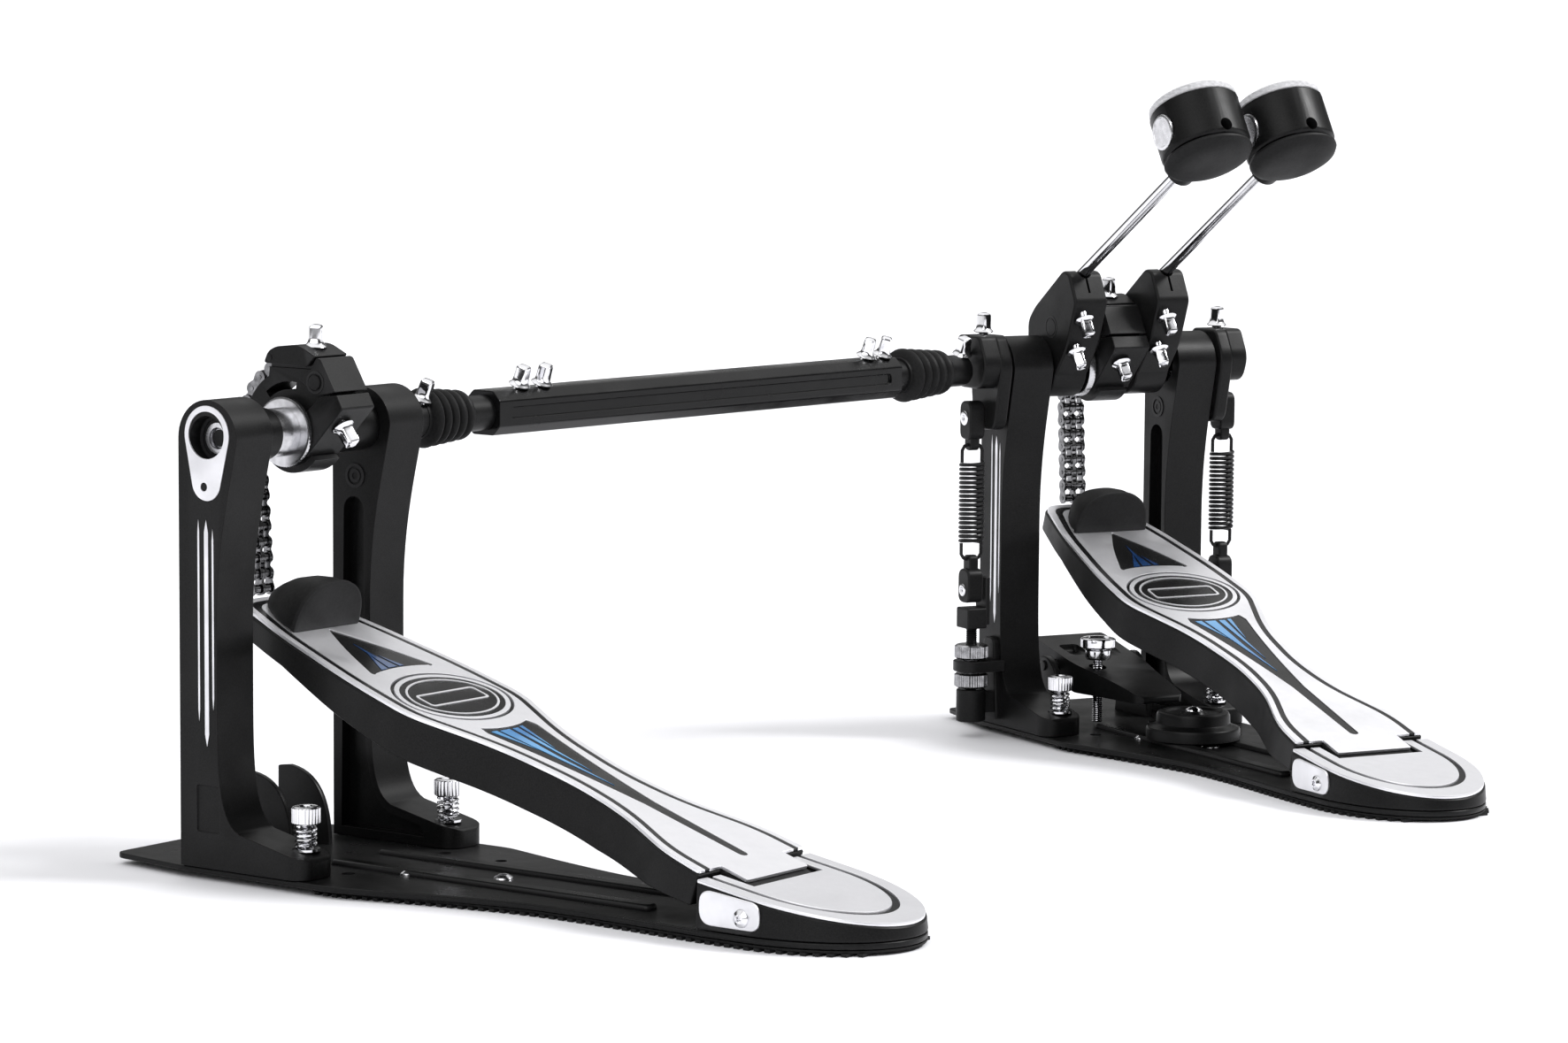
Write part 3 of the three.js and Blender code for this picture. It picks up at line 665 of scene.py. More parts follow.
def ribbed_mat():
    """The heel mat, with cross ribs that show as teeth along its edge."""
    outline = rounded(mirrored(MAT_CORNERS))
    pitch = 5.5
    count = int((-62 - HEEL_TIP - 5) / pitch)
    parts = [soften(prism(outline, 1.5, MAT_TOP), 0.3, 2)]
    for i in range(count):
        y = -62 - pitch * i
        half = half_width_at(outline, y - 1.4) + 1.1
        parts.append(block((-half, y - 3.0, 0), (half, y, 1.6)))
    return merged(*parts)


def rear_pads():
    return soften(prism(rounded(mirrored(PAD_CORNERS)), 0, MAT_TOP), 0.8, 3)


# ---- Posts ----

def post_outline():
    return [
        Vector((POST_R, PLATE_TOP + 0.3)), *arc(0, AXLE_Z, POST_R, 0, 180, 24),
        *cubic((-POST_R, AXLE_Z), (-14, 190), (-5.5, 165), (-5.5, 125)),
        Vector((-5.5, 82)), *cubic((-5.5, 82), (-5.5, 45), (-8, 30), (-19, 25)),
        *rounded([(-19, 25), (FOOT_FRONT, 16, 3), (FOOT_FRONT, PLATE_TOP + 0.3)])[1:],
    ]


def inner_recess():
    """The hollow on a post's inner face, which follows its front edge to the foot."""
    return [
        *arc(5, 172, 6.5, 0, 180, 8), *cubic((-1.5, 172), (-1.5, 120), (-1.5, 110), (-1.5, 84)),
        *cubic((-1.5, 84), (-1.5, 45), (-5, 28), (-17, 21), 8), Vector((-38, 16.2)),
        Vector((-40, 14)), Vector((-40, 11)), Vector((13.5, 11)),
    ]


def post_casting(side, bracket):
    """side is -1 on the left and 1 on the right, where +X is outwards."""
    inner, outer = side * POST_IN, side * POST_OUT
    plan = rounded([(inner, FOOT_FRONT, 11), (outer, FOOT_FRONT, 11), (outer, 40), (inner, 40)], 8)
    casting = across(post_outline(), inner, outer)
    casting = soften(common(casting, prism(plan, -10, 400)), 2.2, 4, 40)
    tools = [
        turned([(-90, 11.3), (90, 11.3)], "x", (0, 0, AXLE_Z), 40),
        turned([(0, 3.2), (40, 3.2)], "z", (side * SPUR_X, SPUR_Y, 0), 24),
        across(inner_recess(), inner - side * 3, inner + side * 6),
        soften(across(rounded([(-6.5, 24, 1.5), (8, 24, 1.5), (8, 47, 1.5), (-6.5, 47, 1.5)]),
                      outer - side * 0.7, outer + side * 2), 0.3, 1),
    ]
    casting = soften(carved(casting, *tools), 0.45, 2, 50)
    ring = turned([(inner - side * 0.5, 4.6), (inner - side * 0.5, 6.2), (inner + side, 6.2),
                   (inner + side, 4.6), (inner - side * 0.5, 4.6)], "x", (0, 4, 189), 28)
    boss = turned([(inner + side * 2, 3.4), (inner - side * 0.3, 3.4), (inner - side * 0.3, 1.6),
                   (inner + side, 1.4)], "x", (0, 4, 189), 28)
    parts = [casting, ring, boss]
    if bracket:
        parts.append(spring_bracket(side))
    return merged(*parts)


def spring_bracket(side):
    """The fork on the outside of a main post that the knurled wheels pinch."""
    x0, x1 = 68, 94.8
    arm = rounded([(x0, -10), (x1, -10, 9), (x1, 10, 9), (x0, 10)])
    arm = soften(prism([Vector((side * p.x, p.y)) for p in arm], 38.5, 45), 0.8)
    web = soften(across(rounded([(-8, 10, 2), (8, 10, 2), (8, 58, 5), (-4, 58, 5)]),
                        side * 67, side * 72.5), 1.0)
    near, far = sorted((side * 70, side * TENSION_X))
    low = soften(block((near, -5, 14), (far, 5, 26)), 1)
    sleeve = soften(turned([(9, 8.6), (28.2, 8.6)], "z", (side * TENSION_X, 0, 0), 36), 1.2)
    bore = turned([(0, 5.2), (60, 5.2)], "z", (side * TENSION_X, 0, 0), 28)
    cup = turned([(20, 4.3), (60, 4.3)], "z", (side * TENSION_X, 0, 0), 28)
    return merged(carved(arm, bore), web, low, carved(sleeve, cup))


def post_inlay(side):
    """The bright teardrop plate round the bearing on a post's outer face."""
    x = side * (POST_OUT - 0.4)
    outline = [*arc(0, 217, 14.3, -14, 194, 26), *arc(0.5, 194.5, 9.2, 194, 346, 18)]
    hole = turned([(-90, 11.4), (90, 11.4)], "x", (0.3, 0.3, 217), 40)
    dimple = turned([(-90, 2.1), (90, 2.1)], "x", (0, 2, 192), 24)
    return soften(carved(across(outline, x, x + side * 0.9), hole, dimple), 0.25, 2)


def post_stripes(side):
    """Plain pinstripes down a post's outer face."""
    x = side * (POST_OUT - 0.2)
    stripes = []
    for y, low, high, half in ((1.0, 66, 176, 1.3), (6.0, 78, 176, 0.55), (-3.2, 84, 172, 0.55)):
        outline = [Vector((y - half, low + 6)), Vector((y, low)), Vector((y + half, low + 6)),
                   Vector((y + half, high - 6)), Vector((y, high)), Vector((y - half, high - 6))]
        stripes.append(across(outline, x, x + side * 0.35))
    return merged(*stripes)


def race_ring(side, low, high, inset):
    """One ring of a post's bearing, set back from its faces by the inset."""
    x0, x1 = sorted((side * 50, side * 62))
    a, b = x0 + inset, x1 - inset
    return turned([(a, low), (a, high), (b, high), (b, low), (a, low)], "x", (0, 0, AXLE_Z), 40)


def bearing_race(side, inner):
    """The black outer race of a sealed ball bearing and its recessed shield."""
    return merged(race_ring(side, 9.4, 11.1, 0), race_ring(side, inner + 2.0, 9.6, 1.4))


def spur_screw(x):
    """A floor spur: pointed shank under a knurled head with a washer face."""
    thread = [(9 + i * 0.5, 2.7 if i % 2 else 2.3) for i in range(46)]
    shank = turned([(4.2, 0.4), (6.5, 2.2), *thread], at=(x, SPUR_Y, 0), sides=24)
    return merged(shank, knurled_knob((x, SPUR_Y, 31.2), 7.0, 8.8))


def spur_spring(x):
    coil = moved(tube(helix(4.9, 20.2, 30.6, 4.5), 0.75, 8), Matrix.Translation((x, SPUR_Y, 0)))
    washer = [(18.5, 3.3), (18.5, 6.9), (19.6, 6.9), (19.6, 3.3), (18.5, 3.3)]
    return merged(coil, turned(washer, at=(x, SPUR_Y, 0), sides=32))


# ---- Heel ----

def heel_outline(inset=0.0, tip_inset=None, front=HEEL_FRONT):
    half = HEEL_HALF - inset
    tip = HEEL_ROUND - HEEL_TIP - (inset if tip_inset is None else tip_inset)
    curve = [Vector((half * p.x, HEEL_ROUND + tip * p.y)) for p in arc(0, 0, 1, 180, 360, 36)]
    return [Vector((half, front)), Vector((-half, front)), *curve]


def heel_top(y):
    return HEEL_TOP + HEEL_SLOPE * (y - HEEL_FRONT)


def sloped_layer(outline, below, above):
    """A plan outline as a sheet parallel to the heel's sloping top."""
    rings = [[Vector((p.x, p.y, heel_top(p.y) + lift)) for p in outline]
             for lift in (below, above)]
    return loft(rings)


def heel_casting():
    low = [Vector((p.x, p.y, PLATE_TOP + 0.3)) for p in heel_outline(-0.8)]
    high = [Vector((p.x, p.y, heel_top(p.y) - 1.7)) for p in heel_outline()]
    pocket = block((-28, -300, 7.3), (28, HEEL_FRONT + 9, 60))
    bore = turned([(-70, 3.4), (70, 3.4)], "x", (0, HINGE_Y, HINGE_Z), 28)
    return soften(carved(soften(loft([low, high]), 1.0, 3, 40), pocket, bore), 0.4, 2, 50)


def heel_plate():
    """The bright top: a rim, a dark groove and a panel notched for the board."""
    rim = sloped_layer(heel_outline(0.6), -1.6, 0)
    panel = sloped_layer(heel_outline(11.4, 17.6, HEEL_FRONT - 0.5), -1.6, 0)
    well = sloped_layer(heel_outline(8.2, 13.8, HEEL_FRONT + 6), -4, 4)
    notch = block((-27, -296, 0), (27, HEEL_FRONT + 9, 60))
    return merged(soften(carved(rim, well), 0.4, 2), soften(carved(panel, notch), 0.4, 2))


def heel_groove():
    """The black floor of the groove between the rim and the panel."""
    notch = block((-28, -297, 0), (28, HEEL_FRONT + 9, 60))
    return carved(sloped_layer(heel_outline(3), -1.9, -1.2), notch)


def hinge_side_plate(side):
    x = side * (HEEL_HALF - 0.4)
    corners = [(-278.5, 8.8, 7.5), (-278.5, 25.6, 7.5), (-312.5, 21.6, 6), (-312.5, 8.8, 6)]
    return soften(across(rounded(corners, 8), x, x + side * 1.6), 0.5, 3)


# ---- Footboard, in its own axes: y along the board from the hinge, z square to it ----

def board_outline(inset=0.0, start=31.0, end=347.0):
    corners = [
        (41.5, start, 2), (39.5, 54, 12), (25, 92, 18), (21.5, 125, 18), (27, 168, 18),
        (44.5, 212, 10), (42.5, 250, 20), (34, 305, 15), (23, end - inset, 8),
    ]
    return rounded(mirrored([(x - inset, y, r) for x, y, r in corners]), 8)


def board_casting():
    """The hollow cast board under the tread, with its skirt."""
    profile = rounded([
        (30, BOARD_TOP), (30, -8.5), (60, -12), (100, -14.8), (200, -14.8, 20), (262, -10.5, 20),
        (300, -5.5), (352, -4.5), (352, BOARD_TOP),
    ])
    sides = common(prism(board_outline(), -20, BOARD_TOP), prism(profile, -60, 60, "x"))
    sides = soften(sides, 1.1, 3, 40)
    shell = carved(sides, prism(board_outline(4, 35), -30, BOARD_TOP - 4))
    tongue = rounded([(1, -5.5, 3), (1, 5.5, 4), (TONGUE_TIP - 1, BOARD_TOP, 2),
                      (40, BOARD_TOP), (40, 1), (15, 1)])
    tongue = soften(prism(tongue, -TONGUE_HALF, TONGUE_HALF, "x"), 0.8, 2, 40)
    barrel = soften(turned([(-TONGUE_HALF, 6), (TONGUE_HALF, 6)], "x"), 0.8, 2)
    return merged(shell, tongue, barrel)


def upper_insert(inset=0.0):
    """The long dark triangle between the badge and the toe stop."""
    base = 253.5 + inset
    side = 23 - inset * 1.4
    return [*rounded([(side, base, 3), (12, 282, 14), (0, 305 - inset * 3, 2), (-12, 282, 14),
                      (-side, base, 3)])[:-1],
            *cubic((-side, base), (-9, base + 4.5), (9, base + 4.5), (side, base))[:-1]]


def lower_insert(inset=0.0):
    """The dark triangle that runs out into a narrow slot towards the heel."""
    base, half = 189.0 - inset, 20.5 - inset * 1.6
    slot = 2.7 - inset
    return [*cubic((half, base), (8, base - 6), (-8, base - 6), (-half, base))[:-1],
            *cubic((-half, base), (-13, 160), (-7, 128), (-slot, 84))[:-1],
            *arc(0, 38 + inset, slot, 180, 360, 8),
            *cubic((slot, 84), (7, 128), (13, 160), (half, base))[:-1]]


def badge_ring(outer, inner):
    """A plain oval line."""
    ring = prism(oval(0, BADGE_Y, 35 - outer, 27 - outer), TREAD_BOTTOM - 1, TREAD_TOP + 1)
    return carved(ring, prism(oval(0, BADGE_Y, 35 - inner, 27 - inner), 0, 20))


def tread_openings(low, high, inset=0.0):
    """Every dark shape let into the tread."""
    line = common(badge_ring(inset, 1.8 - inset), block((-60, 0, low), (60, 400, high)))
    return [prism(upper_insert(inset), low, high), prism(lower_insert(inset), low, high),
            line, prism(oval(0, BADGE_Y, 30.6 - inset, 22.6 - inset), low, high)]


def tread_groove(low, high, inset):
    """The line that parts the tread's rim from its panel."""
    line = carved(prism(board_outline(4.3 + inset, 10), low, high),
                  prism(board_outline(7.7 - inset, 0), low - 5, high + 5))
    return common(line, block((-60, 20, low - 1), (60, 400, high + 1)))


def tread_plate():
    """The bright tread: a rim and a panel parted by a groove, with openings."""
    plate = prism(board_outline(0.8, 31.6), TREAD_BOTTOM, TREAD_TOP)
    step = rounded(mirrored([(TONGUE_HALF - 0.3, TONGUE_TIP, 1.5), (TONGUE_HALF - 0.3, 33, 0)]))
    plate = carved(plate, tread_groove(0, 20, 0), *tread_openings(0, 20))
    return soften(joined(plate, prism(step, TREAD_BOTTOM, TREAD_TOP)), 0.3, 2)


def badge_trim():
    """A thin bright oval and a plain bar on the dark badge."""
    low, high = TREAD_TOP - 0.5, TREAD_TOP
    line = carved(prism(oval(0, BADGE_Y, 27.6, 19.6), low, high),
                  prism(oval(0, BADGE_Y, 26.4, 18.4), 0, 20))
    bar = rounded(mirrored([(21.5, 214.5, 3), (21.5, 227.5, 3)]))
    bar_hole = rounded(mirrored([(20.2, 215.8, 2.2), (20.2, 226.2, 2.2)]))
    return merged(line, carved(prism(bar, low, high), prism(bar_hole, 0, 20)))


def streak(x0, x1, base, tip_x, tip):
    middle = (x0 + x1) / 2
    outline = [Vector((x0, base)), Vector((x1, base)), Vector(((middle + tip_x) / 2 + 0.6,
               (base + tip) / 2)), Vector((tip_x, tip))]
    return prism(outline, TREAD_TOP - 0.5, TREAD_TOP - 0.25)


def toe_streaks():
    """Deep blue streaks that narrow from the badge towards the toe."""
    return merged(streak(-12, -7.5, 257.5, -2.5, 276), streak(-5.5, 0.5, 258.5, -0.8, 287),
                  streak(2.5, 5.5, 258.5, 1.2, 272))


def heel_streaks():
    """Blue streaks that narrow from the badge towards the heel."""
    return merged(streak(-14.5, -10.5, 183, -6.5, 160), streak(-8.5, -1.5, 182.5, -0.8, 116),
                  streak(0.8, 4.8, 182.5, 1.4, 132), streak(7, 9.5, 183.5, 4.2, 158))


def toe_stop():
    """A domed wedge: a beaded arch faces the heel and the back runs down to a point."""
    rings = []
    sections = [(305.6, 0.93, 0.95), (306.2, 1.0, 1.0), (308.4, 1.0, 1.0), (308.9, 0.95, 0.955),
                (309.6, 0.94, 0.955), (315, 0.92, 0.95), (322, 0.82, 0.86), (329, 0.67, 0.71),
                (335, 0.50, 0.51), (340, 0.30, 0.31), (343, 0.13, 0.15)]
    for along, wide, tall in sections:
        half, height = 24 * wide, 24.5 * tall
        ring = [Vector((half * (abs(math.cos(a)) ** 0.85) * math.copysign(1, math.cos(a)), along,
                        TREAD_TOP + 0.1 + height * math.sin(a) ** 0.8))
                for a in [math.pi * i / 24 for i in range(25)]]
        rings.append(ring)
    return loft(rings)


# ---- Chain ----

def link_plate(start, end, x, thickness=0.85):
    """A waisted side plate between two pins given as (y, z)."""
    start, end = Vector(start), Vector(end)
    along = (end - start).normalized()
    across = Vector((-along.y, along.x))
    middle = (start + end) / 2
    turn = math.degrees(math.atan2(along.y, along.x))
    outline = [*arc(end.x, end.y, 3.3, turn - 110, turn + 110, 9), middle + across * 2.1,
               *arc(start.x, start.y, 3.3, turn + 70, turn + 290, 9), middle - across * 2.1]
    return prism(outline, x - thickness / 2, x + thickness / 2, "x")


def chain_run(pins):
    """A two-strand roller chain through pins given as (y, z)."""
    parts = []
    for index, (start, end) in enumerate(zip(pins, pins[1:])):
        outside = (-6.9, -0.5, 0.5, 6.9) if index % 2 else (-5.7, -1.7, 1.7, 5.7)
        parts += [link_plate(start, end, x) for x in outside]
    for y, z in pins:
        parts.append(turned([(-7.6, 1.2), (7.6, 1.2)], "x", (0, y, z), 12))
        for x in (-3.7, 3.7):
            parts.append(turned([(x - 1.7, 2.4), (x + 1.7, 2.4)], "x", (0, y, z), 16))
    return merged(*parts)


def hanging_pins():
    """Pins of the hanging run, which leans in a little on its way down to the board."""
    return [(CHAIN_R + 0.5 - 0.5 * i, AXLE_Z - 4 - CHAIN_PITCH * i) for i in range(11)]


def rim_pins():
    """Pins of the run that lies on the cam's rim."""
    step = math.degrees(CHAIN_PITCH / CHAIN_R)
    angles = [math.radians(step * i - 4) for i in range(10)]
    return [(CHAIN_R * math.cos(a), AXLE_Z + CHAIN_R * math.sin(a)) for a in angles]


# ---- Cam and axle ----

def lifted(points, z=AXLE_Z):
    return [Vector((p[0], p[1] + z)) for p in points]


def cam_body():
    """The cast cam: rim disc, cap, clamp nose with its split, and side details."""
    disc = [Vector((-12, -12)), *arc(0, 0, 17.7, 225, 330, 10), *arc(0, 0, CAM_RIM, -12, 62, 16),
            Vector((13.5, 31.2)), Vector((-16, 31.2)), Vector((-25, 22)), Vector((-28, 12))]
    disc = soften(prism(lifted(disc), -9.5, 9.5, "x"), 1.0, 3)
    cap = rounded([(15.2, 33, 2), (12.5, 38.8, 3), (7.5, 41.4, 4), (-7, 42.9, 4), (-18.4, 37.6, 1),
                   (-13, 32.2, 2)])
    cap = soften(prism(lifted(cap), -CAM_HALF, CAM_HALF, "x"), 0.9, 3)
    upper = rounded([(-15.5, 31.4, 0), (-19.4, 37.0, 1), (-22, 36.3, 1), (-31.2, 20.8, 0.5),
                     (-20, 18.5, 0), (-8, 26, 0)])
    upper = soften(prism(lifted(upper), -CAM_HALF, CAM_HALF, "x"), 0.8, 3)
    lower = rounded([(-21, 18.0, 0), (-32.2, 19.4, 0.5), (-36, 12.7, 1), (-12.3, -12, 1),
                     (-6, -4, 0), (-10, 8, 0)])
    lower = soften(prism(lifted(lower), -CAM_HALF, CAM_HALF, "x"), 0.8, 3)
    slot = [*arc(0, 0, 24.5, 50, 100, 8), *arc(0, 0, 20.5, 100, 50, 8)]
    disc = carved(disc, prism(lifted(slot), -20, 20, "x"))
    seam = block((-9, -15, AXLE_Z + 30), (9, 12.5, AXLE_Z + 33.5))
    return merged(disc, cap, upper, lower, seam)


def cam_side_bosses():
    """Screw bosses on both cheeks and the pivot ends of the cap."""
    parts = []
    for side in (-1, 1):
        x = side * CAM_HALF
        rings = [(x - side, 5.6), (x + side * 0.3, 5.6), (x + side * 0.3, 4.3),
                 (x - side * 0.4, 4.2), (x - side * 0.4, 3.9), (x + side * 0.8, 3.7),
                 (x + side * 1.0, 3.2)]
        parts.append(turned(rings, "x", (0, -18.5, AXLE_Z + 25), 36))
        dot = [(x - side, 1.5), (x + side * 0.35, 1.5), (x + side * 0.5, 1.1)]
        parts.append(turned(dot, "x", (0, 11.2, AXLE_Z + 35.6), 20))
    return merged(*parts)


def cam_teeth():
    """The fine toothed strip round the underside of the cam."""
    parts = []
    for i in range(44):
        angle = math.radians(222 + 2.6 * i)
        y, z = 19.2 * math.cos(angle), 19.2 * math.sin(angle)
        tooth = block((-9, -0.35, -1.6), (9, 0.35, 1.4))
        turn = Matrix.Rotation(angle - math.pi / 2, 4, "X")
        parts.append(moved(tooth, Matrix.Translation((0, y, AXLE_Z + z)) @ turn))
    return merged(*parts)


def shaft_run(profile):
    return turned(profile, "x", (0, 0, AXLE_Z), 40)


def knurled_ring(x0, x1, radius=17.4, inner=5.2):
    """A steel ring with a fine knurl on its rim."""
    profile = [(x0, inner), (x0, radius - 1.6), (x0 + 0.4, radius - 0.3),
               (x0 + 0.7, radius, 0.5), (x1 - 0.7, radius, 0.5), (x1 - 0.4, radius - 0.3),
               (x1, radius - 1.6), (x1, inner), (x0, inner)]
    return turned(profile, "x", (0, 0, AXLE_Z), 120)


# ---- Beaters ----

HUB_CORNERS = [
    (15, -8, 7), (15, 27, 4), (8, 35, 5), (-24, 58, 3), (-31, 57, 4), (-39.5, 40, 3), (-30, 14, 8),
    (-15, -6, 4),
]


def rod_place(x):
    """The axes of a beater rod at that x: z along the rod, origin on the axle."""
    return Matrix.Translation((x, 0, AXLE_Z)) @ Matrix.Rotation(ROD_ANGLE, 4, "X")


def hub_casting(x):
    """A beater hub: the clamp block over a ring on the axle, bored for the rod."""
    ring = soften(shaft_run([(x - 11, 17.2), (x + 11, 17.2)]), 1.2, 3)
    block_shape = soften(prism(lifted(rounded(HUB_CORNERS)), x - 11, x + 11, "x"), 1.6, 4)
    bore = turned([(-30, ROD_R + 0.9), (90, ROD_R + 0.9)], "z", (0, ROD_OFFSET, 0), 28)
    place = rod_place(x)
    split = moved(block((-0.7, 20, 22), (0.7, 60, 90)), place)
    return merged(ring, soften(carved(block_shape, moved(bore, place), split), 0.35, 2, 50))


def hub_bosses(x):
    """The round bosses on both cheeks of a hub."""
    parts = []
    for side in (-1, 1):
        face = x + side * 11
        ring = [(face - side, 6.4), (face + side * 0.2, 6.4), (face + side * 0.2, 5.6),
                (face - side * 0.3, 5.4), (face - side * 0.3, 5.1), (face + side * 0.25, 4.9)]
        parts.append(turned(ring, "x", (0, -12, AXLE_Z + 24.4), 36))
    return merged(*parts)


def beater_rod():
    return turned([(14, ROD_R - 1), (15.5, ROD_R), (HEAD_ALONG - 4, ROD_R)], "z",
                  (0, ROD_OFFSET, 0), 32)


HEAD_AT = (0, HEAD_OFFSET, HEAD_ALONG)


def head_turn(profile, sides=64):
    """Turned about the beater head's own axis, which points from rubber to felt."""
    shape = turned(profile, "z", sides=sides)
    return moved(shape, Matrix.Translation(HEAD_AT) @ Matrix.Rotation(-math.pi / 2, 4, "X"))


def head_barrel():
    r = HEAD_R
    barrel = head_turn([(-13.4, r - 4), (-13.4, r - 1.7), (-12.2, r - 0.6), (-11, r),
                        (13.8, r), (14.6, r - 0.8), (14.6, 12)])
    collar = turned([(HEAD_ALONG - 32, 6.6), (HEAD_ALONG - 30, 8.6), (HEAD_ALONG - 12, 9.6)],
                    "z", (0, ROD_OFFSET, 0), 36)
    hole = turned([(HEAD_ALONG + 12, 3.6), (HEAD_ALONG + 60, 3.6)], "z", (0, ROD_OFFSET, 0), 28)
    recess = turned([(-60, 10.2), (1.3 - r, 10.2)], "x", (0, HEAD_OFFSET, HEAD_ALONG), 36)
    return merged(soften(carved(soften(barrel, 0.5, 2, 40), hole, recess), 0.3, 2, 50), collar)


def head_rubber():
    """The rounded striking face, behind a narrow neck groove."""
    r, end = HEAD_R, -HEAD_HALF
    return head_turn([(-13.2, r - 4), (-13.8, r - 1.5), (-14.8, r - 0.4), (-16, r - 0.3),
                      (end + 3, r - 1.8), (end + 1.4, r - 5), (end + 0.5, r - 10), (end, r - 17),
                      (end, 1.0)])


def head_felt():
    r, end = HEAD_R, HEAD_HALF
    return head_turn([(14.2, 14), (14.3, r - 1.2), (15.2, r - 0.3), (end - 2.8, r - 0.7),
                      (end - 1, r - 3.2), (end - 0.1, r - 7.5), (end, 8.0), (end, 1.0)])


def head_disc():
    """The bright weight disc in the side of the head."""
    face = -HEAD_R
    profile = [(face + 1.1, 9.9), (face + 0.1, 9.9), (face - 0.3, 9.2), (face - 0.3, 8.2),
               (face + 0.1, 7.8), (face + 0.1, 0.5)]
    return turned(profile, "x", (0, HEAD_OFFSET, HEAD_ALONG), 48)


# ---- Cranks, springs and tension gear ----

def crank(side):
    """The arm that the spring pulls on, with its split clamp block outside."""
    corners = [(16, 8, 6), (12, 20, 3), (-13, 20.5, 4), (-22, 4, 7), (-13.5, -35, 7), (11, -35, 7)]
    arm = across(lifted(rounded(corners)), side * 71, side * 79.5)
    upper = [(15, 8, 6), (11.5, 20, 3), (-13, 20.5, 3), (-21.5, 4, 6), (-16, -10.5, 7),
             (13.5, -10.5, 8)]
    upper = across(lifted(rounded(upper)), side * 78, side * 90)
    near, far = sorted((side * 60, side * 95))
    split = block((near, -1, AXLE_Z + 5), (far, 0.4, 300))
    return merged(soften(arm, 1.6, 4), soften(carved(soften(upper, 1.6, 4), split), 0.3, 1, 50))


def spring_wire(side):
    """The coil of a return spring."""
    coil = helix(SPRING_R, COIL_LOW, COIL_HIGH, 18, side * SPRING_X, 16)
    return tube(coil, SPRING_WIRE)


def spring_hooks(side):
    """The wire loops that carry the spring from its coil to each eye."""
    x, r, parts = side * SPRING_X, SPRING_R, []
    for inner, outer in ((COIL_HIGH, 171.6), (COIL_LOW, 104.4)):
        bend = (outer - inner) * 0.16
        half = [(r, inner), (r, outer - bend * 2), (r - 1.6, outer - bend * 0.5), (2.5, outer)]
        path = [(x - out, 0, z) for out, z in half]
        path += [(x + out, 0, z) for out, z in reversed(half)]
        parts.append(tube(path, SPRING_WIRE))
    return merged(*parts)


def clevis(side, low, high, eye_low, eye_high):
    """A rounded spring link with a hooked eye at one end."""
    x = side * SPRING_X
    body = rounded([(-6.4, low, 5), (6.4, low, 5), (6.4, high, 6), (-6.4, high, 6)])
    eye = rounded([(-4, eye_low, 3.5), (4, eye_low, 3.5), (4, eye_high, 3.5), (-4, eye_high, 3.5)])
    body = soften(prism(body, x - 5, x + 5, "x"), 1.2, 3)
    eye = soften(prism(eye, x - 3, x + 3, "x"), 1.0, 3)
    return merged(body, eye)


def pan_screw(x, y, z, side, radius=4.2):
    """A flat screw with a cross-cut centre, facing sideways."""
    head = turned([(-1, radius), (0.6, radius), (1.0, radius - 0.6), (1.0, 1.9), (0.1, 1.5)],
                  "z", sides=32)
    return facing(head, (x, y, z), (side, 0, 0))


def tension_rod(side):
    """The threaded rod, its head block and the ear beside the lower clevis."""
    x = side * TENSION_X
    thread = []
    pitch, low, high = 1.25, 15.0, 66.0
    for i in range(int((high - low) / pitch * 2)):
        thread.append((low + pitch * i / 2, 3.3 if i % 2 else 2.8))
    rod = turned(thread, at=(x, 0, 0), sides=24)
    head = soften(block((x - 6.5, -7, 64), (x + 6.5, 7, 76)), 1.0)
    ear = soften(block((x - side * 7.4 - 1.6, -6, 66), (x - side * 7.4 + 1.6, 6, 94)), 0.7)
    return merged(rod, head, ear)


def knurled_wheels(side):
    """Two knurled wheels, one each side of the bracket, on one sleeve."""
    wheels = []
    for low, high in ((29.2, 37.6), (46, 54.3)):
        wheels.append(turned([
            (low, 3.5), (low, 8.6), (low + 0.9, 9.8), (low + 1.0, 9.9, 0.45),
            (high - 1.0, 9.9, 0.45), (high - 0.9, 9.8), (high, 8.6), (high, 3.5), (low, 3.5),
        ], at=(side * TENSION_X, 0, 0), sides=80))
    sleeve = [(36, 3.5), (36, 4.6), (48, 4.6), (48, 3.5), (36, 3.5)]
    wheels.append(turned(sleeve, at=(side * TENSION_X, 0, 0), sides=28))
    return merged(*wheels)


# ---- Drive line, in its own axes: x from the slave joint to the main joint ----

def drive_tube_shape():
    """The eight-sided outer tube with a shallow channel along its sides."""
    half_y, half_z, cut = 12.0, 11.6, 5.0
    corners = [
        (half_y, half_z - cut, 1), (half_y - cut, half_z, 1), (-half_y + cut, half_z, 1),
        (-half_y, half_z - cut, 1), (-half_y, -half_z + cut, 1), (-half_y + cut, -half_z, 1),
        (half_y - cut, -half_z, 1), (half_y, -half_z + cut, 1),
    ]
    body = soften(prism(lifted(rounded(corners, 3), 0), 43, 378, "x"), 0.7, 2, 50)
    channels = []
    for side in (-1, 1):
        low, high = sorted((side * 10.6, side * 14))
        plan = rounded([(52, -2.8, 2.6), (368, -2.8, 2.6), (368, 2.8, 2.6), (52, 2.8, 2.6)])
        channels.append(prism(plan, low, high, "y"))
    bore = turned([(40, 6.4), (330, 6.4)], "x", sides=32)
    return soften(carved(body, *channels, bore), 0.3, 1, 50)


